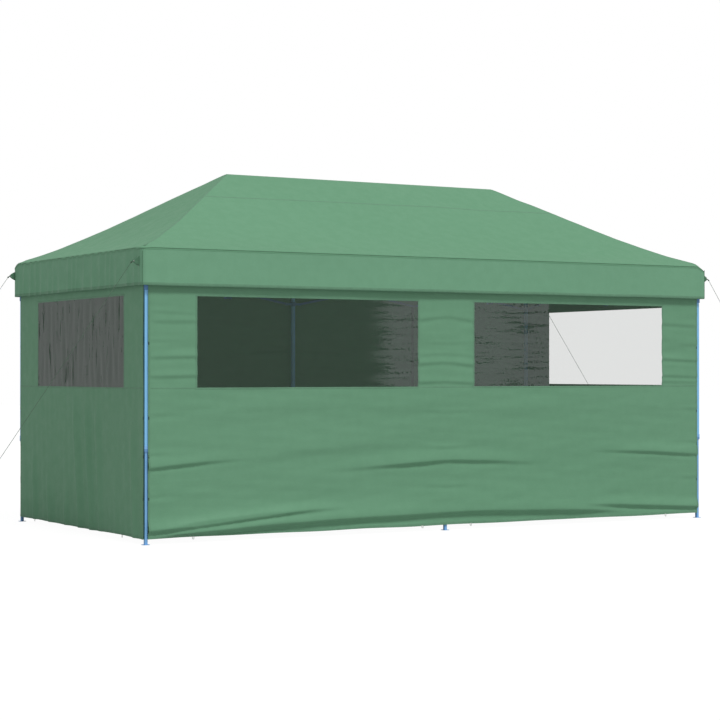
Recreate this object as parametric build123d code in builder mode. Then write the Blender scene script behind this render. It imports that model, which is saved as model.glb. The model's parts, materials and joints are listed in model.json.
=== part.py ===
import os
from math import atan2, degrees, hypot

from build123d import *

# A pop up gazebo on six telescopic legs, joined all round by scissor bars, with two peak masts,
# a hipped canopy with a valance, four walls, window films, guy ropes and pegs.
# Origin on the ground at the middle of the footprint, +X along the long side, +Y to the back.

os.makedirs("parts", exist_ok=True)

# Footprint, between leg centres
length = 5900
width = 2900

# Heights above the ground
upper_pivot = 2410  # scissor pivots that stay at the leg tops
lower_pivot = 2135  # scissor pivots on the sliders, with the gazebo open
eave = 2470  # top of the valance, foot of the roof
ridge = 3278
valance_bottom = 2152
wall_bottom = 45
wall_top = 2440
upper_leg_bottom = 794
mast_top = 3205

# Legs
upper_tube = 32
lower_tube = 25
tube_wall = 1.2
upper_leg_top = 2432
lower_leg_top = 914
foot_side = 60
foot_thickness = 3
peg_hole_spacing = 44
peg_hole_radius = 4.5

# Scissor bars: flat tubes in two layers, outer and inner, each side of the leg row's centre plane
bar_width = 22
bar_thickness = 10
bar_wall = 1
layer = 6
layers = {"rising": -layer, "falling": layer}
pin_radius = 4
running_gap = 0.05
head_radius = 6.5
head_thickness = 1.5
long_lug = 79  # leg centre to pivot along the long sides
short_lug = 54  # the same along the short sides

# Brackets and sliders
cheek = 3.6
slot_gap = 0.4
lug_height = 24
bracket_side = 40
bracket_bottom = 2392
bracket_top = 2438
slider_side = 41
slider_hole = 33
slider_height = 46
collar_side = 37
collar_height = 50

# Peak masts and the bars that carry them
connector_lug = 30  # front row plane to the carrying bar's upper pivot
hub_lug = 24  # mast centre to the carrying bar's lower pivot
mast_tube = 25
hub_height = 40
cap_radius = 38
cap_height = 22

# Fabric
roof_half_x = 3020
roof_half_y = 1518
roof_thickness = 1.5
roof_sag = 0.16
roof_steps = 4
ridge_half_width = 6
valance_thickness = 1.5
valance_corner = 25
wall_thickness = 1.2
wall_plane = 23.5  # leg row plane to the inner face of the wall
wall_end_gap = 17  # leg centre to the end of the wall
film_thickness = 0.5
film_gap = 0.5
window_bottom = 1300
long_window_top = 2070
short_window_top = 2080
long_window_width = 2190
long_window_middle = 1397
short_window_width = 2010
short_window_middle = 40
mid_bay = length / 4

# Guy ropes, their corner tabs and their pegs
tab_height = 2350
tab_reach = 60
tab_half = 42
tab_inset = 53  # valance face to the tab's centre plane
rope_radius = 2
rope_start = 4  # tab tip to the rope's end
rope_run = 1655  # tab tip to the peg, along X
rope_foot = 26
peg_radius = 3
peg_height = 46
peg_hook = 16

span = length / 2 / 2 - long_lug  # one scissor cell, pivot to pivot
rise = upper_pivot - lower_pivot
bar_length = hypot(span, rise)
bar_angle = degrees(atan2(rise, span))

# Each side's plane has X along the side, Y up and its normal pointing outwards
sides = {
    "front": Plane(origin=(0, -width / 2, 0), x_dir=(1, 0, 0), z_dir=(0, -1, 0)),
    "right": Plane(origin=(length / 2, 0, 0), x_dir=(0, 1, 0), z_dir=(1, 0, 0)),
    "back": Plane(origin=(0, width / 2, 0), x_dir=(-1, 0, 0), z_dir=(0, 1, 0)),
    "left": Plane(origin=(-length / 2, 0, 0), x_dir=(0, -1, 0), z_dir=(-1, 0, 0)),
}
long_cells = [-long_lug - span * 2, -long_lug - span, long_lug, long_lug + span]
short_cells = [-span, 0]
cells = {"front": long_cells, "right": short_cells, "back": long_cells, "left": short_cells}

legs = {
    "front_left": (-length / 2, -width / 2),
    "front_mid": (0, -width / 2),
    "front_right": (length / 2, -width / 2),
    "back_left": (-length / 2, width / 2),
    "back_mid": (0, width / 2),
    "back_right": (length / 2, width / 2),
}


def save(builder, name):
    builder.part.label = name
    export_step(builder.part, f"parts/{name}.step")


def pin(plane, x, y, low, high):
    # A riveted pin along the plane's normal, with a head outside each end of its grip
    with BuildSketch(plane.offset(low)) as outline:
        with Locations((x, y)):
            Circle(pin_radius)
    extrude(outline.sketch, amount=high - low)
    for start in (low - head_thickness, high):
        with BuildSketch(plane.offset(start)) as outline:
            with Locations((x, y)):
                Circle(head_radius)
        extrude(outline.sketch, amount=head_thickness)


def flat_tube(plane, middle, ends, offset, slope, fixed):
    # A hollow flat bar with rounded ends, in the plane; fixed holes grip their pin, the rest run on it
    with BuildSketch(plane.offset(offset - bar_thickness / 2)) as outline:
        with Locations(middle):
            SlotCenterToCenter(bar_length, bar_width, rotation=slope)
        for point in [*ends, middle]:
            with Locations(point):
                gap = running_gap / 2 if point in fixed else running_gap
                Circle(pin_radius + gap, mode=Mode.SUBTRACT)
    extrude(outline.sketch, amount=bar_thickness)
    with BuildSketch(plane.offset(offset)) as outline:
        with Locations(middle):
            inner = bar_width - 2 * bar_wall
            Rectangle(bar_length + 2 * bar_width, inner, rotation=slope)
    extrude(outline.sketch, amount=bar_thickness / 2 - bar_wall, both=True, mode=Mode.SUBTRACT)


def scissor_bar(name, side, start, kind):
    plane = sides[side]
    offset = layers[kind]
    at_start, at_end = (
        (lower_pivot, upper_pivot) if kind == "rising" else (upper_pivot, lower_pivot)
    )
    first = (start, at_start)
    last = (start + span, at_end)
    middle = (start + span / 2, (upper_pivot + lower_pivot) / 2)
    slope = bar_angle if kind == "rising" else -bar_angle
    mids = [x for x in cells[side] if x - span in cells[side]]
    # Pins through both layers belong to the falling bars, and the pins in the lugs to the bar there
    grip = layer + bar_thickness / 2 + slot_gap / 2
    lug_grip = bar_thickness / 2 + slot_gap + cheek + slot_gap / 2
    pins = []
    for x, y in (first, last):
        if x not in mids:
            pins.append((x, y, offset - lug_grip, offset + lug_grip))
        elif kind == "falling":
            deep = side == "front" and y == upper_pivot
            pins.append((x, y, -grip, grip, deep))
    if kind == "falling":
        pins.append((*middle, -grip, grip))
    with BuildPart() as bar:
        flat_tube(plane, middle, (first, last), offset, slope, [p[:2] for p in pins])
        for x, y, low, high, *deep in pins:
            if any(deep):
                carrier_pin(plane, x, y, high)
            else:
                pin(plane, x, y, low, high)
    save(bar, name)


def carrier_pin(plane, x, y, high):
    # The pin that also carries a front connector runs on inwards, into the connector's web
    low = -(layer + bar_thickness / 2 + 6.5)
    with BuildSketch(plane.offset(low)) as outline:
        with Locations((x, y)):
            Circle(pin_radius)
    extrude(outline.sketch, amount=high - low)
    with BuildSketch(plane.offset(high)) as outline:
        with Locations((x, y)):
            Circle(head_radius)
    extrude(outline.sketch, amount=head_thickness)


def lug(plane, x, direction, reach, offset, height):
    # A clevis that reaches along the side from a square block, around one bar end
    slot = bar_thickness + 2 * slot_gap
    far = reach + bar_width / 2
    root = reach - bar_width / 2 - 2
    near = bracket_side / 2 - 1
    with BuildSketch(plane.offset(offset)) as outline:
        with Locations((x + direction * (near + far) / 2, height)):
            Rectangle(far - near, lug_height)
    extrude(outline.sketch, amount=slot / 2 + cheek, both=True)
    with BuildSketch(plane.offset(offset)) as outline:
        with Locations((x + direction * (root + far) / 2, height)):
            Rectangle(far - root, lug_height)
    extrude(outline.sketch, amount=slot / 2, both=True, mode=Mode.SUBTRACT)
    with BuildSketch(plane.offset(offset)) as outline:
        with Locations((x + direction * reach, height)):
            Circle(pin_radius + running_gap)
    extrude(outline.sketch, amount=slot / 2 + cheek, both=True, mode=Mode.SUBTRACT)


def leg_lugs(x, y, height, at_top):
    # The clevises of one leg: a lug for each bar that ends at this leg and height
    for side, plane in sides.items():
        along = plane.to_local_coords(Vector(x, y, 0))
        if abs(along.Z) > 1:
            continue
        reach = long_lug if side in ("front", "back") else short_lug
        for direction in (1, -1):
            pivot = along.X + direction * reach
            starts = [c for c in cells[side] if abs(c - pivot) < 1]
            ends = [c for c in cells[side] if abs(c + span - pivot) < 1]
            if starts or ends:
                falling = bool(starts) == at_top
                offset = layers["falling" if falling else "rising"]
                lug(plane, along.X, direction, reach, offset, height)


def square_tube(x, y, side, hole, low, high):
    with BuildSketch(Plane.XY.offset(low)) as outline:
        with Locations((x, y)):
            Rectangle(side, side)
            Rectangle(hole, hole, mode=Mode.SUBTRACT)
    extrude(outline.sketch, amount=high - low)


def upper_leg(name, x, y):
    fit = 2 * running_gap
    with BuildPart() as leg:
        # Top bracket: a cap over the tube with a clevis for each bar
        with BuildSketch(Plane.XY.offset(bracket_bottom)):
            with Locations((x, y)):
                Rectangle(bracket_side, bracket_side)
        extrude(amount=bracket_top - bracket_bottom)
        leg_lugs(x, y, upper_pivot, True)
        with BuildSketch(Plane.XY.offset(bracket_bottom)):
            with Locations((x, y)):
                Rectangle(upper_tube + fit, upper_tube + fit)
        extrude(amount=upper_leg_top - bracket_bottom, mode=Mode.SUBTRACT)
        # Tube
        low = upper_leg_bottom
        top = upper_leg_top - running_gap
        square_tube(x, y, upper_tube, upper_tube - 2 * tube_wall, low, top)
        # Guide collar: holds the tube's end and guides the lower leg
        hole = lower_tube + 2 * fit
        middle = low - running_gap
        square_tube(x, y, collar_side, hole, low - collar_height / 2, middle)
        square_tube(x, y, collar_side, upper_tube + fit, middle, low + collar_height / 2)
    save(leg, name)


def lower_leg(name, x, y):
    with BuildPart() as leg:
        with BuildSketch():
            with Locations((x, y)):
                RectangleRounded(foot_side, foot_side, 6)
                with GridLocations(peg_hole_spacing, 0, 2, 1):
                    Circle(peg_hole_radius, mode=Mode.SUBTRACT)
        extrude(amount=foot_thickness)
        hole = lower_tube - 2 * tube_wall
        square_tube(x, y, lower_tube, hole, foot_thickness, lower_leg_top)
    save(leg, name)


def slider(name, x, y):
    with BuildPart() as block:
        low = lower_pivot - slider_height / 2
        with BuildSketch(Plane.XY.offset(low)):
            with Locations((x, y)):
                Rectangle(slider_side, slider_side)
        extrude(amount=slider_height)
        leg_lugs(x, y, lower_pivot, False)
        with BuildSketch(Plane.XY.offset(low)):
            with Locations((x, y)):
                Rectangle(slider_hole, slider_hole)
        extrude(amount=slider_height, mode=Mode.SUBTRACT)
    save(block, name)


def front_connector(name, x):
    # A block on the long pin of the front row, with two cheeks for the bar that carries the mast
    slot = bar_thickness + 2 * slot_gap
    row = -width / 2
    face = layer + bar_thickness / 2 + 0.5
    web = 7
    depth = connector_lug + bar_width / 2 - face
    with BuildPart() as block:
        with BuildSketch(Plane.XY.offset(upper_pivot - lug_height / 2)):
            with Locations((x, row + face + depth / 2)):
                Rectangle(slot + 2 * cheek, depth)
            with Locations((x, row + face + web + depth / 2)):
                Rectangle(slot, depth, mode=Mode.SUBTRACT)
        extrude(amount=lug_height)
        with BuildSketch(sides["front"]):
            with Locations((x, upper_pivot)):
                Circle(pin_radius + running_gap)
        extrude(amount=-face - web, mode=Mode.SUBTRACT)
        with BuildSketch(Plane.YZ.offset(x)):
            with Locations((row + connector_lug, upper_pivot)):
                Circle(pin_radius + running_gap)
        extrude(amount=slot / 2 + cheek, both=True, mode=Mode.SUBTRACT)
    save(block, name)


def mast_bar(name, x):
    # Carries a mast: from the front connector down to the mast's hub
    plane = Plane.YZ.offset(x)
    first = (connector_lug - width / 2, upper_pivot)
    last = (-hub_lug, lower_pivot)
    middle = ((first[0] + last[0]) / 2, (upper_pivot + lower_pivot) / 2)
    grip = bar_thickness / 2 + slot_gap + cheek + slot_gap / 2
    with BuildPart() as bar:
        flat_tube(plane, middle, (first, last), 0, -bar_angle, [first, last])
        for point in (first, last):
            pin(plane, *point, -grip, grip)
    save(bar, name)


def mast(name, x):
    # A square tube with a four-way hub at its foot and a rounded cap under the peak
    fit = 2 * running_gap
    slot = bar_thickness + 2 * slot_gap
    far = hub_lug + bar_width / 2
    low = lower_pivot - hub_height / 2
    with BuildPart() as pole:
        with BuildSketch(Plane.XY.offset(low)):
            with Locations((x, 0)):
                Rectangle(slot + 2 * cheek, 2 * far)
                Rectangle(2 * far, slot + 2 * cheek)
                Rectangle(2 * far, slot, mode=Mode.SUBTRACT)
                Rectangle(slot, 2 * far, mode=Mode.SUBTRACT)
                Circle(hub_lug - bar_width / 2 - 1)
        extrude(amount=hub_height)
        for plane in (Plane.YZ.offset(x), Plane.XZ):
            centre = 0 if plane.z_dir.X else x
            for reach in (hub_lug, -hub_lug):
                with BuildSketch(plane):
                    with Locations((centre + reach, lower_pivot)):
                        Circle(pin_radius + running_gap)
                extrude(amount=far, both=True, mode=Mode.SUBTRACT)
        top = low + hub_height + fit
        square_tube(x, 0, mast_tube, mast_tube - 2 * tube_wall, top, mast_top)
        with BuildSketch(Plane.XY.offset(mast_top + fit)):
            with Locations((x, 0)):
                Circle(cap_radius)
        extrude(amount=cap_height)
        fillet(pole.edges().group_by(Axis.Z)[-1], cap_height / 2)
    save(pole, name)


def roof_ring(step):
    # Half length, half width and height of the roof at one step from the eave to the ridge
    part = step / roof_steps
    half_x = roof_half_x + (mid_bay + ridge_half_width - roof_half_x) * part
    half_y = roof_half_y + (ridge_half_width - roof_half_y) * part
    height = eave + (ridge - eave) * (part - roof_sag * part * (1 - part))
    return half_x, half_y, height


def roof():
    with BuildPart() as sheet:
        for drop, mode in ((0, Mode.ADD), (roof_thickness, Mode.SUBTRACT)):
            rings = []
            for step in range(roof_steps + 1):
                half_x, half_y, height = roof_ring(step)
                with BuildSketch(Plane.XY.offset(height - drop)) as ring:
                    Rectangle(2 * half_x, 2 * half_y)
                rings.append(ring.sketch)
            loft(rings, ruled=True, mode=mode)
    save(sheet, "canopy_roof")


def valance():
    with BuildPart() as band:
        with BuildSketch(Plane.XY.offset(valance_bottom)):
            RectangleRounded(2 * roof_half_x, 2 * roof_half_y, valance_corner)
            inner_x = 2 * (roof_half_x - valance_thickness)
            inner_y = 2 * (roof_half_y - valance_thickness)
            corner = valance_corner - valance_thickness
            RectangleRounded(inner_x, inner_y, corner, mode=Mode.SUBTRACT)
        extrude(amount=eave - valance_bottom)
        # A pointed webbing tab at each corner, where a guy rope is tied
        for x_sign in (-1, 1):
            foot = x_sign * (roof_half_x - valance_thickness / 2)
            tip = x_sign * (roof_half_x + tab_reach)
            for y in (tab_inset - roof_half_y, roof_half_y - tab_inset):
                with BuildSketch(Plane.XZ.offset(-y)):
                    with BuildLine():
                        Polyline(
                            (foot, tab_height - tab_half),
                            (foot, tab_height + tab_half),
                            (tip, tab_height),
                            close=True,
                        )
                    make_face()
                extrude(amount=valance_thickness / 2, both=True)
    save(band, "valance")


def wall(name, side, windows, window_width, window_top):
    half = length / 2 if side in ("front", "back") else width / 2
    with BuildPart() as sheet:
        with BuildSketch(sides[side].offset(wall_plane)):
            with Locations((0, (wall_bottom + wall_top) / 2)):
                Rectangle(2 * (half - wall_end_gap), wall_top - wall_bottom)
            for x in windows:
                with Locations((x, (window_bottom + window_top) / 2)):
                    height = window_top - window_bottom
                    Rectangle(window_width, height, mode=Mode.SUBTRACT)
        extrude(amount=wall_thickness)
    save(sheet, name)


def window_films():
    panes = [
        ("front", -long_window_middle, long_window_width, long_window_top),
        ("front", long_window_middle, long_window_width, long_window_top),
        ("left", short_window_middle, short_window_width, short_window_top),
        ("right", short_window_middle, short_window_width, short_window_top),
    ]
    with BuildPart() as films:
        for side, x, pane_width, pane_top in panes:
            start = wall_plane + (wall_thickness - film_thickness) / 2
            with BuildSketch(sides[side].offset(start)):
                with Locations((x, (window_bottom + pane_top) / 2)):
                    height = pane_top - window_bottom - 2 * film_gap
                    Rectangle(pane_width - 2 * film_gap, height)
            extrude(amount=film_thickness)
    save(films, "window_films")


def rope_ends(x_sign, y_sign):
    # The rope's upper end beside the tab, and its lower end beside the peg
    tip = roof_half_x + tab_reach
    y = y_sign * (roof_half_y - tab_inset)
    foot = Vector(x_sign * (tip + rope_run - peg_radius - rope_radius), y, rope_foot)
    top = Vector(x_sign * tip, y, tab_height)
    start = top + (foot - top).normalized() * rope_start
    return start, foot


def guy_rope(name, x_sign, y_sign):
    start, foot = rope_ends(x_sign, y_sign)
    with BuildPart() as rope:
        with BuildSketch(Plane(origin=start, z_dir=foot - start)):
            Circle(rope_radius)
        extrude(amount=(foot - start).length)
    save(rope, name)
    print(f"{name}: {(foot - start).length:.0f} mm")


def guy_pegs():
    # What stands above the ground of each driven peg: a round shank with a hook turned outwards
    with BuildPart() as pegs:
        for x_sign in (-1, 1):
            for y_sign in (-1, 1):
                foot = rope_ends(x_sign, y_sign)[1]
                x = foot.X + x_sign * (peg_radius + rope_radius)
                with BuildLine():
                    FilletPolyline(
                        (x, foot.Y, 0),
                        (x, foot.Y, peg_height),
                        (x + x_sign * peg_hook, foot.Y, peg_height),
                        (x + x_sign * peg_hook, foot.Y, peg_height - peg_hook),
                        radius=peg_radius + 3,
                    )
                with BuildSketch(Plane.XY):
                    with Locations((x, foot.Y)):
                        Circle(peg_radius)
                sweep()
    save(pegs, "guy_pegs")


for place, (leg_x, leg_y) in legs.items():
    upper_leg(f"{place}_upper_leg", leg_x, leg_y)
    lower_leg(f"{place}_lower_leg", leg_x, leg_y)
    slider(f"{place}_slider", leg_x, leg_y)

for side, starts in cells.items():
    for number, start in enumerate(starts, 1):
        for kind in layers:
            scissor_bar(f"{side}_bar_{number}_{kind}", side, start, kind)

for hand, sign in (("left", -1), ("right", 1)):
    front_connector(f"{hand}_front_connector", sign * mid_bay)
    mast_bar(f"{hand}_mast_bar", sign * mid_bay)
    mast(f"{hand}_mast", sign * mid_bay)

roof()
valance()
wall("front_wall", "front", (-long_window_middle, long_window_middle), long_window_width, long_window_top)
wall("back_wall", "back", (), long_window_width, long_window_top)
wall("left_wall", "left", (short_window_middle,), short_window_width, short_window_top)
wall("right_wall", "right", (short_window_middle,), short_window_width, short_window_top)
window_films()

for place, x_sign, y_sign in (
    ("front_left", -1, -1),
    ("front_right", 1, -1),
    ("back_left", -1, 1),
    ("back_right", 1, 1),
):
    guy_rope(f"{place}_guy_rope", x_sign, y_sign)
guy_pegs()
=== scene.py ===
import json
import math

import bmesh
import bpy
import numpy as np
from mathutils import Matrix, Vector

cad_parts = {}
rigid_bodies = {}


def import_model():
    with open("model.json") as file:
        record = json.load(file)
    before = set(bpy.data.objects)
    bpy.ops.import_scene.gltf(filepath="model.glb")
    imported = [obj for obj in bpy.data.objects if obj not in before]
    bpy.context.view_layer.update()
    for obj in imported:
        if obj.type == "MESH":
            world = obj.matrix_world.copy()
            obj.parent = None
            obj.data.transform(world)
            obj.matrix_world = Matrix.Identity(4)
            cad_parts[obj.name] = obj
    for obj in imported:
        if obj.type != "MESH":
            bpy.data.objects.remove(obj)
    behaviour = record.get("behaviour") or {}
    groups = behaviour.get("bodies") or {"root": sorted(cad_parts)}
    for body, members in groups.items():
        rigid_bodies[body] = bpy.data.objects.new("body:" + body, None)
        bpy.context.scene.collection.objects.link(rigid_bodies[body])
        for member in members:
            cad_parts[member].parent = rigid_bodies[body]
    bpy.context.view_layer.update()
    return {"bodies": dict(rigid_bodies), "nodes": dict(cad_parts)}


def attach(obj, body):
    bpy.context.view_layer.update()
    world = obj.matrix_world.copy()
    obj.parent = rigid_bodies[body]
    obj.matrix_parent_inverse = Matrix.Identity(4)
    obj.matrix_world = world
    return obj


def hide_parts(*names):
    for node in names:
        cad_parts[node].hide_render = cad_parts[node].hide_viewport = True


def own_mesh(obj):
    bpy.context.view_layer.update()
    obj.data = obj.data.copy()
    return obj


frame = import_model()
scene = bpy.context.scene
print("frame loaded,", len(frame["nodes"]), "nodes")

# Main sizes, in metres, the same as the frame's
gazebo = {
    "halfLength": 2.95, "halfWidth": 1.45,      # leg centres
    "roofHalfX": 3.02, "roofHalfY": 1.518,
    "eave": 2.470, "ridge": 3.278, "ridgeHalfX": 1.490, "ridgeHalfY": 0.006, "sag": 0.40,
    "valanceBottom": 2.152, "wallBottom": 0.045, "wallTop": 2.44, "wallOut": 0.0241, "wallEnd": 0.017,
}


# shaping helpers
def ease(value, start, end):
    share = np.clip((value - start) / (end - start), 0, 1)
    return share * share * (3 - 2 * share)


def drift(u, v, seed, sizeU, sizeV, count=9):
    # an uneven, gentle rise and fall of about -1 to 1
    rng = np.random.default_rng(seed)
    total = np.zeros(np.broadcast(u, v).shape)
    for _ in range(count):
        turn = rng.uniform(0.5, 1.6, 2) * rng.choice([-1, 1], 2)
        total += np.cos(2 * np.pi * (u / sizeU * turn[0] + v / sizeV * turn[1]) + rng.uniform(0, 6.28))
    return total / math.sqrt(count) / 1.5


def waves(u, v, seed, parts):
    # several drifts over each other, each with its rise, seed and sizes
    return sum(rise * drift(u, v, seed + own, sizeU, sizeV) for rise, own, sizeU, sizeV in parts)


def fold(along, across, line, height, upper, lower, starts=0.3, ends=0.3):
    # a soft ridge along a line: a long slope on its upper side and a short one under it
    places, levels = zip(*line)
    middle = np.mean([np.interp(along + step, places, levels) for step in np.linspace(-0.12, 0.12, 7)],
                     axis=0)
    away = across - middle
    width = np.where(away > 0, upper, lower)
    strength = ease(along, places[0] - 0.01, places[0] + starts)
    strength = strength * (1 - ease(along, places[-1] - ends, places[-1] + 0.01))
    ridge = np.exp(-(away / width) ** 2) - 0.35 * np.exp(-((away + 2.1 * lower) / (1.4 * lower)) ** 2)
    return height * ridge * strength


def stops(marks, step):
    # evenly spaced values that pass through every mark
    found = []
    for low, high in zip(marks[:-1], marks[1:]):
        found.extend(np.linspace(low, high, max(1, math.ceil((high - low) / step)) + 1)[:-1])
    return np.array(found + [marks[-1]])


def newPiece(name, mesh):
    piece = bpy.data.objects.new(name, mesh)
    scene.collection.objects.link(piece)
    return piece


def sheetMesh(name, patches, materials, merge=True):
    # one mesh out of patches: grids of points with their own layout in metres
    verts, faces, layout, slots = [], [], [], []
    for patch in patches:
        points, flat = patch["points"], patch["flat"]
        rows, columns = points.shape[:2]
        first = len(verts)
        verts.extend(points.reshape(-1, 3).tolist())
        flatList = flat.reshape(-1, 2).tolist()
        keep = patch.get("keep")
        for i in range(rows - 1):
            for j in range(columns - 1):
                if keep is not None and not keep[i, j]:
                    continue
                corners = [i * columns + j, i * columns + j + 1, (i + 1) * columns + j + 1,
                           (i + 1) * columns + j]
                if patch.get("flip"):
                    corners.reverse()
                faces.append([first + c for c in corners])
                layout.extend(flatList[c] for c in corners)
                slots.append(patch.get("slot", 0))
    mesh = bpy.data.meshes.new(name)
    mesh.from_pydata(verts, [], faces)
    mesh.uv_layers.new(name="UVMap").data.foreach_set("uv", np.array(layout, float).ravel())
    for material in materials:
        mesh.materials.append(material)
    mesh.polygons.foreach_set("material_index", slots)
    mesh.polygons.foreach_set("use_smooth", [True] * len(faces))
    if merge:
        work = bmesh.new()
        work.from_mesh(mesh)
        bmesh.ops.remove_doubles(work, verts=work.verts, dist=1e-5)
        loose = [v for v in work.verts if not v.link_faces]
        bmesh.ops.delete(work, geom=loose, context="VERTS")
        work.to_mesh(mesh)
        work.free()
    return newPiece(name, mesh)


strandSwell = 0.12      # how far a laid rope's strands stand out, in radii


def tubePatch(points, radius, sides=10, strands=0, pitch=0.02, closed=False):
    # a round tube along points, with raised strands for a laid rope
    points = np.array(points, float)
    if closed:
        ahead, behind = np.roll(points, -1, 0), np.roll(points, 1, 0)
    else:
        ahead = np.vstack([points[1:], 2 * points[-1] - points[-2]])
        behind = np.vstack([2 * points[0] - points[1], points[:-1]])
    heading = ahead - behind
    heading /= np.linalg.norm(heading, axis=1)[:, None]
    length = np.concatenate([[0], np.cumsum(np.linalg.norm(np.diff(points, axis=0), axis=1))])
    helper = np.array([0, 0, 1.0]) if abs(heading[0][2]) < 0.9 else np.array([0, 1.0, 0])
    normal = np.cross(heading[0], helper)
    rings, flats = [], []
    for i, place in enumerate(points):
        normal = normal - heading[i] * np.dot(normal, heading[i])
        normal /= np.linalg.norm(normal)
        side = np.cross(heading[i], normal)
        turn = np.linspace(0, 2 * np.pi, sides + 1)
        swell = 1 + strandSwell * np.cos(strands * turn
                                         - 2 * np.pi * length[i] / pitch) if strands else np.ones(sides + 1)
        size = radius[i] if np.ndim(radius) else radius
        rings.append(place + (size * swell * np.cos(turn))[:, None] * normal
                     + (size * swell * np.sin(turn))[:, None] * side)
        flats.append(np.stack([np.full(sides + 1, length[i]), turn * size], 1))
    if closed:
        rings.append(rings[0])
        flats.append(flats[0] + [length[-1], 0])
    return {"points": np.array(rings), "flat": np.array(flats), "flip": True}


def roundedBlock(name, size, edge, material, place, turn):
    # a moulded block with soft edges
    work = bmesh.new()
    bmesh.ops.create_cube(work, size=1)
    bmesh.ops.scale(work, vec=size, verts=work.verts)
    bmesh.ops.bevel(work, geom=work.edges[:] + work.verts[:], offset=edge, segments=3, profile=0.5,
                    affect="EDGES")
    bmesh.ops.rotate(work, matrix=turn, verts=work.verts)
    bmesh.ops.translate(work, vec=place, verts=work.verts)
    mesh = bpy.data.meshes.new(name)
    work.to_mesh(mesh)
    work.free()
    mesh.materials.append(material)
    mesh.polygons.foreach_set("use_smooth", [True] * len(mesh.polygons))
    return newPiece(name, mesh)


# packing away: soft pieces gather with the legs as the frame folds
packing = {
    "liftFrom": 1.28, "pleat": 0.26, "depth": 0.028, "roofDrop": 0.62, "roofPleat": 0.05,
    "calmFrom": (1.9, 2.15), "calm": 0.85,      # little pleating of the walls near their tops
    "cornerCalm": (0.35, 0.15),                 # and none at the corners, from and to these distances
}
legPlaces = {
    "front_left": (-1, 0), "front_mid": (0, 0), "front_right": (1, 0),
    "back_left": (-1, 1), "back_mid": (0, 1), "back_right": (1, 1),
}


def packAway(piece, edge=None, lift=False, drop=False):
    # every point is hung from the legs around it, and the lower walls from the lower legs
    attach(piece, "front_mid_upper_leg")
    count = len(piece.data.vertices)
    spot = np.zeros(count * 3)
    piece.data.vertices.foreach_get("co", spot)
    x, y, z = spot.reshape(-1, 3).T
    across = np.clip(x / gazebo["halfLength"], -1, 1)
    back = np.clip((y / gazebo["halfWidth"] + 1) / 2, 0, 1)
    low = 1 - ease(z, gazebo["wallBottom"], packing["liftFrom"]) if lift else np.zeros(count)
    run = y if edge in ("left", "right") else x
    half = gazebo["roofHalfY"] if edge in ("left", "right") else gazebo["roofHalfX"]
    far, close = packing["cornerCalm"]
    pleat = (1 - np.cos(2 * np.pi * run / packing["pleat"])) / 2 * packing["depth"]
    pleat = pleat * (1 - ease(np.abs(run), half - far, half - close))
    pleat = pleat * (1 - packing["calm"] * ease(z, *packing["calmFrom"])) if lift else pleat
    loose = np.ones(count)
    onFront = y < -1.4
    if edge or drop:
        height = np.clip((z - gazebo["eave"]) / 0.2, 0, 1)
        pleat = pleat * (1 - height)
        loose = np.where(onFront, 1, 1 - pleat)
    weights = {}
    for leg, (side, isBack) in legPlaces.items():
        share = 1 - np.abs(across) if side == 0 else np.clip(side * across, 0, 1)
        share = share * (back if isBack else 1 - back) * loose
        if leg != "front_mid":
            weights[leg + "_upper_leg"] = share * (1 - low)
        if lift:
            weights[leg + "_lower_leg"] = share * low
    if edge or drop:
        weights["back_mid_upper_leg"] = weights["back_mid_upper_leg"] + np.where(onFront, pleat, 0)
    if drop:
        rise = np.clip((z - gazebo["eave"]) / (gazebo["ridge"] - gazebo["eave"]), 0, 1)
        wave = (1 - np.cos(2 * np.pi * x / packing["pleat"])) / 2
        wave = wave * packing["roofPleat"] * np.clip(rise * 5, 0, 1)
        weights["front_mid_slider"] = rise * packing["roofDrop"] + wave
    for body, values in weights.items():
        if values.max() < 1e-4:
            continue
        group = piece.vertex_groups.new(name="with_" + body)
        for index in np.nonzero(values > 1e-4)[0]:
            group.add([int(index)], float(values[index]), "REPLACE")
        hook = piece.modifiers.new("with_" + body, "HOOK")
        hook.object = frame["bodies"][body]
        hook.vertex_group = group.name
        hook.matrix_inverse = frame["bodies"][body].matrix_world.inverted() @ piece.matrix_world
    return piece


# shader groups
def newGroup(name, inputs, outputs):
    tree = bpy.data.node_groups.new(name, "ShaderNodeTree")
    for kind, items in (("INPUT", inputs), ("OUTPUT", outputs)):
        for label, form, value in items:
            socket = tree.interface.new_socket(name=label, in_out=kind, socket_type="NodeSocket" + form)
            if value is not None:
                socket.default_value = value
    start = tree.nodes.new("NodeGroupInput")
    end = tree.nodes.new("NodeGroupOutput")
    return tree, start, end


def addNode(tree, kind, settings=None, **sockets):
    node = tree.nodes.new("ShaderNode" + kind)
    for key, value in (settings or {}).items():
        setattr(node, key, value)
    for key, value in sockets.items():
        place = node.inputs[int(key[1:])] if key[0] == "i" and key[1:].isdigit() else node.inputs[key]
        if isinstance(value, bpy.types.NodeSocket):
            tree.links.new(value, place)
        else:
            place.default_value = value
    return node


def mathNode(tree, operation, first, second=0.0):
    return addNode(tree, "Math", {"operation": operation}, i0=first, i1=second).outputs[0]


def times(tree, first, second):
    return mathNode(tree, "MULTIPLY", first, second)


def plus(tree, first, second):
    return mathNode(tree, "ADD", first, second)


def minus(tree, first, second):
    return mathNode(tree, "SUBTRACT", first, second)


def noise(tree, place, scale, detail, **more):
    return addNode(tree, "TexNoise", Vector=place, Scale=scale, Detail=detail, **more)


def spread(tree, value, low, high, toLow=0.0, toHigh=1.0):
    return addNode(tree, "MapRange", {"interpolation_type": "SMOOTHSTEP"},
                   i0=value, i1=low, i2=high, i3=toLow, i4=toHigh).outputs[0]


def between(tree, share, low, high):
    return spread(tree, share, 0.0, 1.0, low, high)


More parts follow.
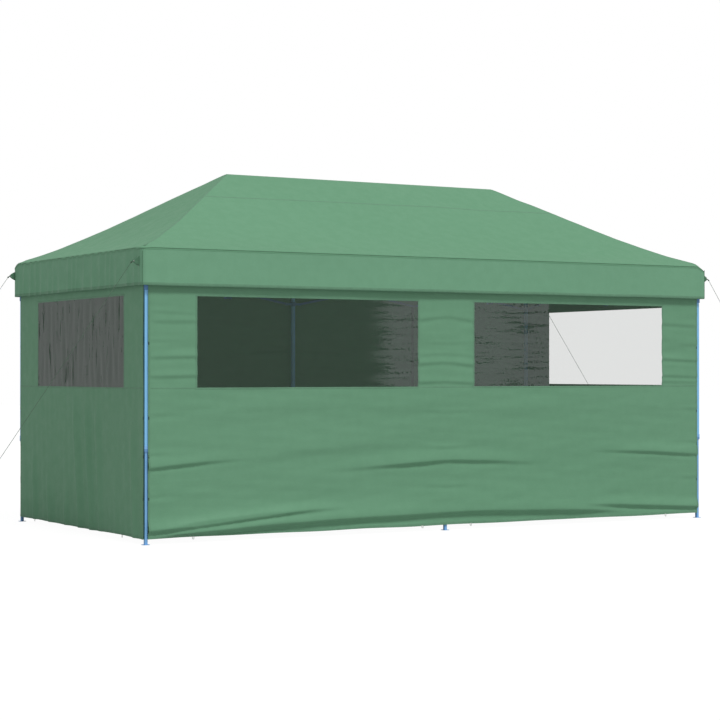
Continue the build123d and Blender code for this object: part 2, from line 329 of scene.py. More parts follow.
def blendColours(tree, share, first, second, mode="MIX"):
    node = addNode(tree, "Mix", {"data_type": "RGBA", "blend_type": mode}, i0=share)
    for index, value in ((6, first), (7, second)):
        if isinstance(value, bpy.types.NodeSocket):
            tree.links.new(value, node.inputs[index])
        else:
            node.inputs[index].default_value = (*value, 1)
    return node.outputs[2]


def weaveGroup():
    # plain weave: threads pass over and under each other in both directions
    tree, start, end = newGroup("plainWeave", [("Place", "Vector", None), ("Threads", "Float", 600)],
                                [("Height", "Float", None), ("Gaps", "Float", None)])
    wobble = noise(tree, start.outputs["Place"], 35.0, 1.0)
    shift = addNode(tree, "VectorMath", {"operation": "MULTIPLY"}, i0=wobble.outputs["Color"],
                    i1=(0.0012,) * 3)
    place = addNode(tree, "VectorMath", {"operation": "ADD"}, i0=start.outputs["Place"], i1=shift.outputs[0])
    scaled = addNode(tree, "VectorMath", {"operation": "SCALE"}, i0=place.outputs[0],
                     Scale=start.outputs["Threads"])
    parts = addNode(tree, "SeparateXYZ", i0=scaled.outputs[0])
    warp = mathNode(tree, "SINE", times(tree, parts.outputs[0], math.pi))
    weft = mathNode(tree, "SINE", times(tree, parts.outputs[1], math.pi))
    over = times(tree, warp, weft)
    edges = times(tree, mathNode(tree, "ABSOLUTE", warp), mathNode(tree, "ABSOLUTE", weft))
    height = plus(tree, times(tree, over, 0.5), edges)
    tree.links.new(height, end.inputs["Height"])
    tree.links.new(spread(tree, edges, 0.0, 0.35, 1.0, 0.0), end.inputs["Gaps"])
    return tree


def fadeGroup():
    # broad uneven fading with a finer mottle over it
    tree, start, end = newGroup("unevenFade", [("Place", "Vector", None), ("Broad", "Float", 0.7),
                                               ("Fine", "Float", 14.0)],
                                [("Mask", "Float", None), ("Mottle", "Float", None)])
    broad = noise(tree, start.outputs["Place"], start.outputs["Broad"], 3.0)
    fine = noise(tree, start.outputs["Place"], start.outputs["Fine"], 6.0, Roughness=0.6)
    tree.links.new(spread(tree, broad.outputs[0], 0.3, 0.7), end.inputs["Mask"])
    tree.links.new(spread(tree, fine.outputs[0], 0.3, 0.7), end.inputs["Mottle"])
    return tree


def creaseGroup():
    # small handling creases and soft puckers, longer one way than the other
    tree, start, end = newGroup("smallCreases", [("Place", "Vector", None), ("Stretch", "Vector", (1, 4, 1)),
                                                 ("Sharpness", "Float", 0.5)],
                                [("Height", "Float", None)])
    place = addNode(tree, "VectorMath", {"operation": "MULTIPLY"}, i0=start.outputs["Place"],
                    i1=start.outputs["Stretch"])
    broad = noise(tree, place.outputs[0], 1.6, 3.0, Roughness=0.45, Distortion=0.4)
    lines = addNode(tree, "TexNoise", {"noise_type": "RIDGED_MULTIFRACTAL"}, Vector=place.outputs[0],
                    Scale=2.3, Detail=2.0)
    sharp = times(tree, spread(tree, lines.outputs[0], 0.6, 1.4), start.outputs["Sharpness"])
    tree.links.new(plus(tree, broad.outputs[0], sharp), end.inputs["Height"])
    return tree


def stitchGroup():
    # two rows of lockstitch along a tape whose layout runs along x, across y
    tree, start, end = newGroup("stitchRows", [("Place", "Vector", None), ("Row", "Float", 0.003),
                                               ("Width", "Float", 0.018), ("Pitch", "Float", 0.004)],
                                [("Mask", "Float", None), ("Height", "Float", None)])
    parts = addNode(tree, "SeparateXYZ", i0=start.outputs["Place"])
    along = mathNode(tree, "FRACT", mathNode(tree, "DIVIDE", parts.outputs[0], start.outputs["Pitch"]))
    dash = spread(tree, mathNode(tree, "ABSOLUTE", minus(tree, along, 0.5)), 0.3, 0.42, 1.0, 0.0)
    half = minus(tree, times(tree, start.outputs["Width"], 0.5), start.outputs["Row"])
    centred = mathNode(tree, "ABSOLUTE",
                       minus(tree, parts.outputs[1], times(tree, start.outputs["Width"], 0.5)))
    off = mathNode(tree, "ABSOLUTE", minus(tree, centred, half))
    row = spread(tree, off, 0.0004, 0.0009, 1.0, 0.0)
    mask = times(tree, dash, row)
    tree.links.new(mask, end.inputs["Mask"])
    pull = spread(tree, off, 0.0, 0.003, -1.0, 0.0)
    tree.links.new(plus(tree, pull, times(tree, mask, 0.6)), end.inputs["Height"])
    return tree


def scuffGroup():
    # rubbed and dusty patches for painted tubes and moulded parts
    tree, start, end = newGroup("rubbedPatches", [("Place", "Vector", None), ("Size", "Float", 22.0),
                                                  ("Amount", "Float", 0.4)],
                                [("Rub", "Float", None), ("Dust", "Float", None), ("Peel", "Float", None)])
    rub = noise(tree, start.outputs["Place"], start.outputs["Size"], 8.0, Roughness=0.7)
    threshold = minus(tree, 0.78, times(tree, start.outputs["Amount"], 0.2))
    level = minus(tree, rub.outputs[0], threshold)
    tree.links.new(spread(tree, level, -0.02, 0.06), end.inputs["Rub"])
    dust = noise(tree, start.outputs["Place"], 3.0, 4.0)
    tree.links.new(spread(tree, dust.outputs[0], 0.4, 0.75), end.inputs["Dust"])
    peel = noise(tree, start.outputs["Place"], 420.0, 1.0)
    tree.links.new(peel.outputs[0], end.inputs["Peel"])
    return tree


groups = {"weave": weaveGroup(), "fade": fadeGroup(), "crease": creaseGroup(), "stitch": stitchGroup(),
          "scuff": scuffGroup()}
print("shader groups built")


def newMaterial(name, **plain):
    material = bpy.data.materials.new(name)
    material.use_nodes = True
    shader = material.node_tree.nodes["Principled BSDF"]
    for key, value in plain.items():
        shader.inputs[key.replace("_", " ")].default_value = value
    return material, material.node_tree, shader


def useGroup(tree, key, **sockets):
    return addNode(tree, "Group", {"node_tree": groups[key]}, **sockets)


def clothMaterial(name, look):
    # coated polyester: weave, small creases and uneven fading
    material, tree, shader = newMaterial(name, Sheen_Weight=0.04, Sheen_Roughness=0.5,
                                         Specular_IOR_Level=0.22)
    uv = addNode(tree, "UVMap", {"uv_map": "UVMap"}).outputs[0]
    fade = useGroup(tree, "fade", Place=uv, Broad=look["broad"], Fine=9.0)
    weave = useGroup(tree, "weave", Place=uv, Threads=look["threads"])
    crease = useGroup(tree, "crease", Place=uv, Stretch=look["stretch"], Sharpness=look["sharpness"])
    colour = blendColours(tree, fade.outputs["Mask"], look["colour"], look["faded"])
    colour = blendColours(tree, times(tree, fade.outputs["Mottle"], 0.12), colour, look["deep"])
    colour = blendColours(tree, times(tree, weave.outputs["Gaps"], 0.22), colour, look["deep"])
    tree.links.new(colour, shader.inputs["Base Color"])
    tree.links.new(between(tree, fade.outputs["Mottle"], look["rough"] - 0.06, look["rough"] + 0.06),
                   shader.inputs["Roughness"])
    folds = addNode(tree, "Bump", Strength=look["creaseStrength"], Distance=0.01,
                    Height=crease.outputs["Height"])
    threads = addNode(tree, "Bump", Strength=0.25, Distance=0.0003, Height=weave.outputs["Height"],
                      Normal=folds.outputs[0])
    tree.links.new(threads.outputs[0], shader.inputs["Normal"])
    return material


def tapeMaterial(name, look):
    # folded tape or webbing with its rows of stitching
    material, tree, shader = newMaterial(name, Sheen_Weight=0.1, Specular_IOR_Level=0.3)
    uv = addNode(tree, "UVMap", {"uv_map": "UVMap"}).outputs[0]
    stitch = useGroup(tree, "stitch", Place=uv, Width=look["width"], Pitch=look["pitch"])
    weave = useGroup(tree, "weave", Place=uv, Threads=look["threads"])
    fade = useGroup(tree, "fade", Place=uv, Broad=1.5, Fine=20.0)
    colour = blendColours(tree, times(tree, fade.outputs["Mottle"], 0.4), look["colour"], look["deep"])
    colour = blendColours(tree, times(tree, stitch.outputs["Mask"], 0.7), colour, look["thread"])
    tree.links.new(colour, shader.inputs["Base Color"])
    tree.links.new(between(tree, stitch.outputs["Mask"], 0.8, 0.55), shader.inputs["Roughness"])
    rows = addNode(tree, "Bump", Strength=0.6, Distance=0.0008, Height=stitch.outputs["Height"])
    threads = addNode(tree, "Bump", Strength=0.3, Distance=0.0003, Height=weave.outputs["Height"],
                      Normal=rows.outputs[0])
    tree.links.new(threads.outputs[0], shader.inputs["Normal"])
    return material


canopyLook = {"colour": (0.151, 0.356, 0.208), "faded": (0.16, 0.37, 0.219), "deep": (0.105, 0.26, 0.148),
              "broad": 0.45, "threads": 900, "stretch": (1.0, 1.6, 1.0), "sharpness": 0.1,
              "creaseStrength": 0.06, "rough": 0.66}
# the valance uses the canopy's cloth with its colour painted lighter: painted light, standing in for the
# brighter light the valance catches
valanceLitLook = dict(canopyLook, colour=(0.186, 0.405, 0.253), faded=(0.194, 0.42, 0.262),
                   stretch=(3.0, 1.0, 1.0), creaseStrength=0.08)
wallLook = {"colour": (0.157, 0.35, 0.213), "faded": (0.166, 0.362, 0.223), "deep": (0.105, 0.26, 0.148),
            "broad": 0.5, "threads": 900, "stretch": (0.8, 5.0, 1.0), "sharpness": 0.25,
            "creaseStrength": 0.32, "rough": 0.66}
sideWallLook = dict(wallLook, stretch=(5.0, 0.8, 1.0))
canopyCloth = clothMaterial("canopyCloth", canopyLook)
valanceLitCloth = clothMaterial("valanceLitCloth", valanceLitLook)
wallCloth = clothMaterial("wallCloth", wallLook)
sideWallCloth = clothMaterial("sideWallCloth", sideWallLook)
greenTape = tapeMaterial("greenTape", {"colour": (0.145, 0.315, 0.195), "deep": (0.1, 0.23, 0.14),
                                       "thread": (0.19, 0.38, 0.25), "width": 0.018, "pitch": 0.004,
                                       "threads": 700})
seamTape = tapeMaterial("seamTape", {"colour": (0.085, 0.2, 0.12), "deep": (0.06, 0.15, 0.085),
                                     "thread": (0.11, 0.24, 0.15), "width": 0.01, "pitch": 0.004,
                                     "threads": 700})
darkTape = tapeMaterial("darkTape", {"colour": (0.05, 0.1, 0.065), "deep": (0.03, 0.06, 0.04),
                                     "thread": (0.09, 0.15, 0.1), "width": 0.02, "pitch": 0.004,
                                     "threads": 500})
paleTape = tapeMaterial("paleTape", {"colour": (0.62, 0.66, 0.62), "deep": (0.42, 0.46, 0.42),
                                     "thread": (0.75, 0.75, 0.72), "width": 0.012, "pitch": 0.003,
                                     "threads": 500})


def filmMaterial(name, look):
    # clear vinyl: fine packing wrinkles in a glossy, slightly wavy film, with grey streaky bands of painted
    # reflection that also make the film more opaque and rougher there
    material, tree, shader = newMaterial(name, IOR=1.5, Coat_Roughness=0.08, Specular_IOR_Level=0.5)
    uv = addNode(tree, "UVMap", {"uv_map": "UVMap"}).outputs[0]
    parts = addNode(tree, "SeparateXYZ", i0=uv)
    stretched = addNode(tree, "VectorMath", {"operation": "MULTIPLY"}, i0=uv, i1=look["streaks"])
    streak = noise(tree, stretched.outputs[0], 2.6, 5.0, Roughness=0.62)
    grain = noise(tree, uv, 62.0, 3.0)
    # painted reflection: a grey band across part of the pane, placed by position along it and broken up by
    # streaks and specks
    low, full, fall, high = look["reflectionSpan"]
    reach = times(tree, spread(tree, parts.outputs[0], low, full),
                  spread(tree, parts.outputs[0], fall, high, 1.0, 0.0))
    lines = times(tree, minus(tree, streak.outputs[0], 0.5), look["lines"])
    specks = times(tree, minus(tree, grain.outputs[0], 0.5), look["specks"])
    paintedReflection = spread(tree, plus(tree, reach, plus(tree, lines, specks)), look["cut"], look["cut"] + 0.1)
    paintedReflection = times(tree, paintedReflection, reach)
    colour = blendColours(tree, paintedReflection, look["clear"], look["reflectionGrey"])
    tree.links.new(colour, shader.inputs["Base Color"])
    tree.links.new(between(tree, paintedReflection, *look["alpha"]), shader.inputs["Alpha"])
    tree.links.new(between(tree, paintedReflection, 0.1, 0.28), shader.inputs["Roughness"])
    crease = useGroup(tree, "crease", Place=uv, Stretch=look["streaks"], Sharpness=0.8)
    bump = addNode(tree, "Bump", Strength=0.35, Distance=0.006, Height=crease.outputs["Height"])
    tree.links.new(bump.outputs[0], shader.inputs["Normal"])
    return material


# each pane's painted reflection: its span along the pane, streaks, specks, threshold and grey tint; the right
# pane's span lies off the film, so it has none
frontFilm = filmMaterial("frontFilm", {"streaks": (0.7, 9.0, 1.0), "reflectionSpan": (-0.98, -0.45, 1.13, 1.16),
                                       "cut": 0.44, "lines": 5.0, "specks": 3.4, "clear": (0.17, 0.24, 0.19),
                                       "reflectionGrey": (0.165, 0.195, 0.18), "alpha": (0.19, 0.55)})
sideFilm = filmMaterial("sideFilm", {"streaks": (10.0, 0.9, 1.0), "reflectionSpan": (-2.0, -1.9, 1.9, 2.0),
                                     "cut": 0.57, "lines": 3.3, "specks": 0.8, "clear": (0.16, 0.19, 0.17),
                                     "reflectionGrey": (0.2, 0.225, 0.212), "alpha": (0.2, 0.62)})
clearFilm = filmMaterial("clearFilm", {"streaks": (10.0, 0.9, 1.0), "reflectionSpan": (5.0, 5.1, 5.2, 5.3),
                                       "cut": 3.0, "lines": 1.0, "specks": 1.0, "clear": (0.3, 0.32, 0.32),
                                       "reflectionGrey": (0.3, 0.32, 0.32), "alpha": (0.12, 0.3)})


def hardMaterial(name, look, **plain):
    # paint, plastic or steel with rubbed patches, dust and a fine surface
    material, tree, shader = newMaterial(name, **plain)
    place = addNode(tree, "TexCoord").outputs["Object"]
    scuff = useGroup(tree, "scuff", Place=place, Size=look["size"], Amount=look["amount"])
    colour = look["colour"]
    if "zones" in look:
        parts = addNode(tree, "SeparateXYZ", i0=place)
        for low, high, shade in look["zones"]:
            inside = times(tree, mathNode(tree, "GREATER_THAN", parts.outputs[2], low),
                              mathNode(tree, "LESS_THAN", parts.outputs[2], high))
            colour = blendColours(tree, inside, colour, shade)
    colour = blendColours(tree, times(tree, scuff.outputs["Dust"], look["dust"]), colour, look["dusty"])
    colour = blendColours(tree, times(tree, scuff.outputs["Rub"], look["rub"]), colour, look["rubbed"])
    tree.links.new(colour, shader.inputs["Base Color"])
    tree.links.new(between(tree, scuff.outputs["Rub"], *look["rough"]), shader.inputs["Roughness"])
    bump = addNode(tree, "Bump", Strength=look["bump"], Distance=0.0003, Height=scuff.outputs["Peel"])
    tree.links.new(bump.outputs[0], shader.inputs["Normal"])
    return material


bluePaint = hardMaterial("bluePaint", {
    "colour": (0.25, 0.61, 0.98), "size": 30.0, "amount": 0.3,
    "dust": 0.15, "dusty": (0.3, 0.5, 0.8), "rub": 0.4, "rubbed": (0.14, 0.3, 0.6), "rough": (0.38, 0.55),
    "bump": 0.15, "zones": [(2.39, 2.45, (0.1, 0.24, 0.5)), (0.768, 0.7945, (0.14, 0.33, 0.64)),
                            (0.7945, 0.8195, (0.24, 0.52, 0.9))]}, Coat_Weight=0.15, Coat_Roughness=0.25)
lowerPaint = hardMaterial("lowerPaint", {"colour": (0.22, 0.5, 0.87), "size": 30.0,
                                         "amount": 0.45, "dust": 0.3, "dusty": (0.26, 0.45, 0.74), "rub": 0.5,
                                         "rubbed": (0.12, 0.26, 0.54), "rough": (0.35, 0.55), "bump": 0.15},
                          Coat_Weight=0.15, Coat_Roughness=0.25)
barPaint = hardMaterial("barPaint", {"colour": (0.1, 0.22, 0.5), "size": 26.0, "amount": 0.45, "dust": 0.25,
                                     "dusty": (0.2, 0.34, 0.6), "rub": 0.5, "rubbed": (0.3, 0.34, 0.4),
                                     "rough": (0.34, 0.6), "bump": 0.15}, Coat_Weight=0.1, Coat_Roughness=0.3)
jointPlastic = hardMaterial("jointPlastic", {"colour": (0.12, 0.29, 0.58), "size": 40.0, "amount": 0.4,
                                             "dust": 0.35, "dusty": (0.2, 0.34, 0.56), "rub": 0.4,
                                             "rubbed": (0.14, 0.22, 0.42), "rough": (0.5, 0.7), "bump": 0.35})
pegSteel = hardMaterial("pegSteel", {"colour": (0.55, 0.56, 0.57), "size": 60.0, "amount": 0.7, "dust": 0.3,
                                     "dusty": (0.4, 0.4, 0.38), "rub": 0.6, "rubbed": (0.3, 0.26, 0.22),
                                     "rough": (0.32, 0.6), "bump": 0.3}, Metallic=0.85)
eyeletMetal = hardMaterial("eyeletMetal", {
    "colour": (0.7, 0.7, 0.68), "size": 120.0, "amount": 0.5, "dust": 0.2, "dusty": (0.5, 0.5, 0.48),
    "rub": 0.5, "rubbed": (0.4, 0.38, 0.34), "rough": (0.25, 0.5), "bump": 0.2}, Metallic=0.9)
ropeCord = hardMaterial("ropeCord", {"colour": (0.07, 0.13, 0.085), "size": 90.0, "amount": 0.5, "dust": 0.4,
                                     "dusty": (0.12, 0.18, 0.13), "rub": 0.5, "rubbed": (0.18, 0.24, 0.19),
                                     "rough": (0.7, 0.85), "bump": 0.8})
runnerPlastic = hardMaterial("runnerPlastic", {"colour": (0.05, 0.05, 0.055), "size": 70.0, "amount": 0.5,
                                               "dust": 0.3, "dusty": (0.14, 0.14, 0.13), "rub": 0.4,
                                               "rubbed": (0.2, 0.2, 0.2), "rough": (0.45, 0.65), "bump": 0.4})
for name, node in frame["nodes"].items():
    if name.endswith("upper_leg"):
        finish = bluePaint
    elif name.endswith("lower_leg"):
        finish = lowerPaint
    elif name.endswith(("slider", "front_connector")):
        finish = jointPlastic
    elif name == "guy_pegs":
        finish = pegSteel
    else:
        finish = barPaint
    node.data.materials.clear()
    node.data.materials.append(finish)
print("materials ready")

# camera
viewpoint = {"place": (-9.419, -16.014, 1.438), "heading": 30.346, "tilt": 0.34, "lens": 95.55}
cameraData = bpy.data.cameras.new("camera")
cameraData.lens = viewpoint["lens"]
cameraData.sensor_width = 36
cameraData.clip_end = 200
camera = bpy.data.objects.new("camera", cameraData)
camera.location = viewpoint["place"]
camera.rotation_euler = (math.radians(90 + viewpoint["tilt"]), 0, -math.radians(viewpoint["heading"]))
scene.collection.objects.link(camera)
scene.camera = camera

# guy ropes
roofCorners = (("front_left", -1, -1), ("front_right", 1, -1), ("back_left", -1, 1), ("back_right", 1, 1))
rope = {
    "tip": 3.080, "inset": 1.465, "tabHeight": 2.350, "run": 1.655, "foot": 0.026, "radius": 0.002,
    "peg": 0.003, "gap": 0.004, "sag": 0.007, "pitch": 0.022, "runnerAt": 0.72,
    "runner": (0.052, 0.007, 0.014),
    "thin": 0.0019, "coil": 0.0042, "coilLength": 0.012, "eyeBack": 0.014, "knotAt": 0.012,
    "footKnotAt": 0.014,
    "loop": 0.0056, "eyeLoop": 0.0055,
}


def coil(middle, axis, radius, wire, turns, length):
    # a few tight turns round a line, as a whipping or knot has
    axis = Vector(axis).normalized()
    side = axis.orthogonal().normalized()
    other = axis.cross(side)
    found = []
    for step in np.linspace(0, 1, int(turns * 14) + 1):
        turn = 2 * math.pi * turns * step
        found.append(Vector(middle) + axis * (step - 0.5) * length
                     + (side * math.cos(turn) + other * math.sin(turn)) * radius)
    return tubePatch(found, wire, sides=8)


def loopAndKnot(name, loop, knotPlace, heading):
    knot = coil(knotPlace, heading, rope["coil"], rope["thin"], 3, rope["coilLength"])
    return sheetMesh(name, [tubePatch(loop, rope["thin"], 8, closed=True), knot], [ropeCord])


def guyRope(corner, xSign, ySign):
    # the rope from the tab's eyelet to its peg, with knots and the runner that tightens it
    y = ySign * rope["inset"]
    top = Vector((xSign * rope["tip"], y, rope["tabHeight"]))
    foot = Vector((xSign * (rope["tip"] + rope["run"] - rope["peg"] - rope["radius"]), y, rope["foot"]))
    heading = (foot - top).normalized()
    start = top + heading * rope["gap"]
    curve = bpy.data.curves.new(corner + "_line", "CURVE")
    curve.dimensions = "3D"
    spline = curve.splines.new("NURBS")
    route = []
    for share in (0, 0.12, 0.3, 0.5, 0.7, 0.88, 1):
        point = start.lerp(foot, share)
        route.append(point - Vector((0, 0, 4 * rope["sag"] * share * (1 - share))))
    spline.points.add(len(route) - 1)
    for point, place in zip(spline.points, route):
        point.co = (*place, 1)
    spline.order_u = 3
    spline.use_endpoint_u = True
    spline.resolution_u = 90
    guide = bpy.data.objects.new(corner + "_line", curve)
    line = [v.co.copy() for v in bpy.data.meshes.new_from_object(guide).vertices]
    bpy.data.objects.remove(guide)
    laid = sheetMesh(corner + "_rope", [tubePatch(line, rope["radius"] * 0.96, 9, 3, rope["pitch"])],
                     [ropeCord])
    # knot and loop through the tab's eyelet
    eye = Vector((xSign * (rope["tip"] - rope["eyeBack"]), y, rope["tabHeight"]))
    middle = (eye + start) / 2 + heading * 0.004
    wide = (start - eye).length / 2 + 0.006
    turns = np.linspace(0, 2 * math.pi, 29)[:-1]
    across = Vector((0, 1, 0))
    ring = [middle + heading * math.cos(t) * wide + across * math.sin(t) * rope["eyeLoop"] for t in turns]
    tie = loopAndKnot(corner + "_rope_tie", ring, start + heading * rope["knotAt"], heading)
    # the runner that tightens the rope
    place = start.lerp(foot, rope["runnerAt"]) - Vector((0, 0, 4 * rope["sag"] * 0.2))
    angle = math.atan2(heading.z, heading.x)
    turn = Vector((1, 0, 0)).rotation_difference(Vector((math.cos(angle), 0, math.sin(angle)))).to_matrix()
    runner = roundedBlock(corner + "_rope_runner", rope["runner"], 0.0028, runnerPlastic, place, turn)
    # the loop round the peg, pulled up to a small knot
    pegPlace = Vector((foot.x + xSign * (rope["peg"] + rope["radius"]), y, rope["foot"]))
    size = rope["loop"]
    loop = [pegPlace + Vector((xSign * math.cos(t) * size, math.sin(t) * size, 0.0012 * math.sin(2 * t)))
            for t in turns]
    end = loopAndKnot(corner + "_rope_end", loop, foot - heading * rope["footKnotAt"], heading)
    for piece in (laid, tie, runner, end):
        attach(piece, corner + "_upper_leg")
        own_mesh(piece)
    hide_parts(corner + "_guy_rope")


for corner, xSign, ySign in roofCorners:
    guyRope(corner, xSign, ySign)
print("guy ropes made")

# roof
roof = {
    "rows": 44, "columnStep": 0.055, "cornerSteps": 5, "eaveCorner": 0.055, "hipCorner": 0.007,
    "hipFrom": 0.09,
    "drop": 0.05, "dropReach": 0.13, "frontLeftDrop": 0.15, "slack": 0.006,
    "waves": ((0.0028, 4, 1.5, 0.9), (0.0011, 7, 0.5, 0.35)),
    "tape": 0.016, "hipRise": (0, 0.0016, 0.0006, 0.0016, 0),
    "seamAt": 0.71, "seamTape": 0.0128, "seamShort": 0.012, "seamRise": (0, 0.0014, 0.0008, 0.0014, 0),
}
arcInset = 0.29      # how far a round corner's middle lies inside its sharp corner, in radii
tapeSpread = np.array([-0.5, -0.4, 0.0, 0.4, 0.5])      # points across a tape, in widths


def roofHeight(share):
    # the slope hangs most about a third of the way up
    rise = gazebo["ridge"] - gazebo["eave"]
    return gazebo["eave"] + rise * (share - gazebo["sag"] * share * (1 - share) ** 2)


def cornerDrop(x, y):
    # the far corners are slack and hang a little, the front left one is pulled up
    away = np.hypot(gazebo["roofHalfX"] - np.abs(x), gazebo["roofHalfY"] - np.abs(y))
    drop = np.where((x < 0) & (y < 0), roof["drop"] * roof["frontLeftDrop"], roof["drop"])
    return drop * (1 - ease(away, 0.0, roof["dropReach"]))


def roofHalves(share):
    # half the roof's length and width at a share of the way up the slope
    wide, deep = gazebo["roofHalfX"], gazebo["roofHalfY"]
    return wide + (gazebo["ridgeHalfX"] - wide) * share, deep + (gazebo["ridgeHalfY"] - deep) * share


def roofShare(x, y):
    # how far up the slope a point in plan is: 0 at the eave, 1 at the ridge
    byX = (gazebo["roofHalfX"] - np.abs(x)) / (gazebo["roofHalfX"] - gazebo["ridgeHalfX"])
    byY = (gazebo["roofHalfY"] - np.abs(y)) / (gazebo["roofHalfY"] - gazebo["ridgeHalfY"])
    return np.clip(np.minimum(byX, byY), 0, 1)


def roofRipple(x, y):
    # slack between the legs, and a light unevenness, both less at the eave and the ridge
    share = roofShare(x, y)
    body = ease(share, 0.0, 0.12) * (1 - ease(share, 0.86, 1.0))
    slack = -roof["slack"] * np.sin(np.pi * np.clip(np.abs(x) / gazebo["halfLength"], 0, 1)) ** 2 * body
    return slack + waves(x, y, 0, roof["waves"]) * body


def ringColumns(step, cornerSteps):
    # columns round the roof: straight runs and corner arcs, as (side, share along, corner angle)
    found = []
    for name, isLong in (("back", 1), ("right", 0), ("front", 1), ("left", 0)):
        half = gazebo["roofHalfX"] if isLong else gazebo["roofHalfY"]
        count = math.ceil(2 * half / step)
        found += [(name, k / count, None) for k in range(count + 1)]
        found += [(name, 1.0, math.pi / 2 * k / cornerSteps) for k in range(1, cornerSteps)]
    return found + [found[0]]


def ringSpot(column, halfX, halfY, corner):
    name, share, turn = column
    a, b = halfX - corner, halfY - corner
    runs = {"back": ((-a, halfY), (a, halfY)), "right": ((halfX, b), (halfX, -b)),
            "front": ((a, -halfY), (-a, -halfY)), "left": ((-halfX, -b), (-halfX, b))}
    centres = {"back": (a, b, math.pi / 2), "right": (a, -b, 0), "front": (-a, -b, -math.pi / 2),
               "left": (-a, b, math.pi)}
    if turn is None:
        (x0, y0), (x1, y1) = runs[name]
        return x0 + (x1 - x0) * share, y0 + (y1 - y0) * share
    x, y, first = centres[name]
    return x + corner * math.cos(first - turn), y + corner * math.sin(first - turn)


columns = ringColumns(roof["columnStep"], roof["cornerSteps"])
levels = [("edge", -0.022, 0.0010), ("edge", -0.010, 0.0012), ("edge", -0.005, 0.0024),
          ("edge", -0.0012, 0.0060)]
levels += [("slope", share, 0) for share in 0.008 + 0.992 * np.linspace(0, 1.0, roof["rows"]) ** 1.25]
rows, flats = [], []
climb = 0.0
for number, (kind, value, inset) in enumerate(levels):
    if kind == "edge":
        halfX, halfY = gazebo["roofHalfX"] - inset, gazebo["roofHalfY"] - inset
        height, corner = gazebo["eave"] + value, roof["eaveCorner"]
        climb = value
    else:
        halfX, halfY = roofHalves(value)
        height = roofHeight(value)
        corner = roof["hipCorner"] + (roof["eaveCorner"]
                                      - roof["hipCorner"]) * (1 - ease(value, 0, roof["hipFrom"]))
        corner = min(corner, halfY * 0.9)
        climb = value * 1.7
    spots = np.array([ringSpot(column, halfX, halfY, corner) for column in columns])
    heights = np.full(len(columns), height) - cornerDrop(spots[:, 0], spots[:, 1])
    if kind == "slope":
        heights = heights + roofRipple(spots[:, 0], spots[:, 1])
    rows.append(np.column_stack([spots, heights]))
    run = np.where([c[0] in ("back", "front") for c in columns], spots[:, 0], spots[:, 1] + 20)
    flats.append(np.column_stack([run, np.full(len(columns), climb)]))
roofGrid = {"points": np.array(rows), "flat": np.array(flats), "flip": True}
# the narrow top is closed over the ridge with one more row
top = rows[-1].copy()
top[:, 1] = 0
top[:, 2] += 0.001
ridgeCap = {"points": np.array([rows[-1], top]), "flat": np.array([flats[-1], flats[-1] + [0, 0.01]]),
            "flip": True}
roofSheet = sheetMesh("canopy_roof_sheet", [roofGrid, ridgeCap], [canopyCloth])
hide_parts("canopy_roof")

# tapes over the hip seams and the cross seams
seamPatches = []
for xSign in (-1, 1):
    for ySign in (-1, 1):
        shares = np.linspace(0.03, 0.995, 60)
        halfX, halfY = roofHalves(shares)
        x = xSign * (halfX - roof["hipCorner"] * arcInset)
        y = ySign * (halfY - roof["hipCorner"] * arcInset)
        line = np.column_stack([x, y, roofHeight(shares) + roofRipple(x, y) - 0.0005])
        side = np.array([xSign, -ySign, 0.0]) / math.sqrt(2)
        offsets = tapeSpread * roof["tape"]
        grid = line[:, None, :] + side[None, None, :] * offsets[None, :, None]
        shareGrid = roofShare(grid[:, :, 0], grid[:, :, 1])
        xs, ys = grid[:, :, 0], grid[:, :, 1]
        grid[:, :, 2] = roofHeight(shareGrid) + roofRipple(xs, ys) - cornerDrop(xs, ys) + roof["hipRise"]
        length = np.concatenate([[0], np.cumsum(np.linalg.norm(np.diff(line, axis=0), axis=1))])
        flat = np.stack(np.broadcast_arrays(length[:, None], offsets[None, :] + roof["tape"] / 2), axis=2)
        seamPatches.append({"points": grid, "flat": flat, "flip": xSign * ySign > 0})
for ySign in (-1, 1):
    halfX, halfY = roofHalves(roof["seamAt"])
    halfX -= roof["seamShort"]
    x = np.linspace(-halfX, halfX, 90)
    across = tapeSpread * roof["seamTape"]
    xs, ys = np.meshgrid(x, ySign * halfY + across, indexing="ij")
    zs = roofHeight(roofShare(xs, ys)) + roofRipple(xs, ys) + roof["seamRise"]
    flat = np.stack(np.broadcast_arrays(x[:, None], across[None, :] + roof["seamTape"] / 2), axis=2)
    seamPatches.append({"points": np.stack([xs, ys, zs], axis=2), "flat": flat, "flip": False})
roofSeams = sheetMesh("canopy_roof_seams", seamPatches, [greenTape])
packAway(roofSheet, drop=True)
packAway(roofSeams, drop=True)
print("roof made")

# valance
valance = {
    "step": 0.014, "corner": 0.05, "cornerSteps": 4, "inset": 0.0022, "rows": 12, "hem": 0.022,
    "calm": (0.09, 0.035),
    "ripple": {"left": 0.0170, "right": 0.0120, "front": 0.0014, "back": 0.0024},
    "wave": {"left": 0.15, "right": 0.17, "front": 0.55, "back": 0.4},
    "seed": {"left": 21, "right": 22, "front": 23, "back": 24},
    "phase": ((0.3, 0, 0.7, 1.0),), "swell": ((0.45, 10, 1.1, 1.0),), "sway": ((0.0025, 20, 1.6, 0.8),),
    "lull": 0.45, "topShare": 0.3, "topEdge": 0.006, "cord": 0.0021,
    "bottomWave": ((0.0012, 31, 1.7, 1.0),),
    # heights from the eave and steps outwards of the corded top edge
    "piping": ((-0.0105, 0.0004), (-0.0100, 0.0022), (-0.0080, 0.0030), (-0.0055, 0.0022), (-0.0045, 0.0006)),
    # one fold on the left end: line (minus height, along), rise, widths before and after, fade in, fade out
    "fold": ([(-2.44, -1.17), (-2.3, -1.2), (-2.15, -1.24)], 0.007, 0.05, 0.022, 0.12, 0.001),
}


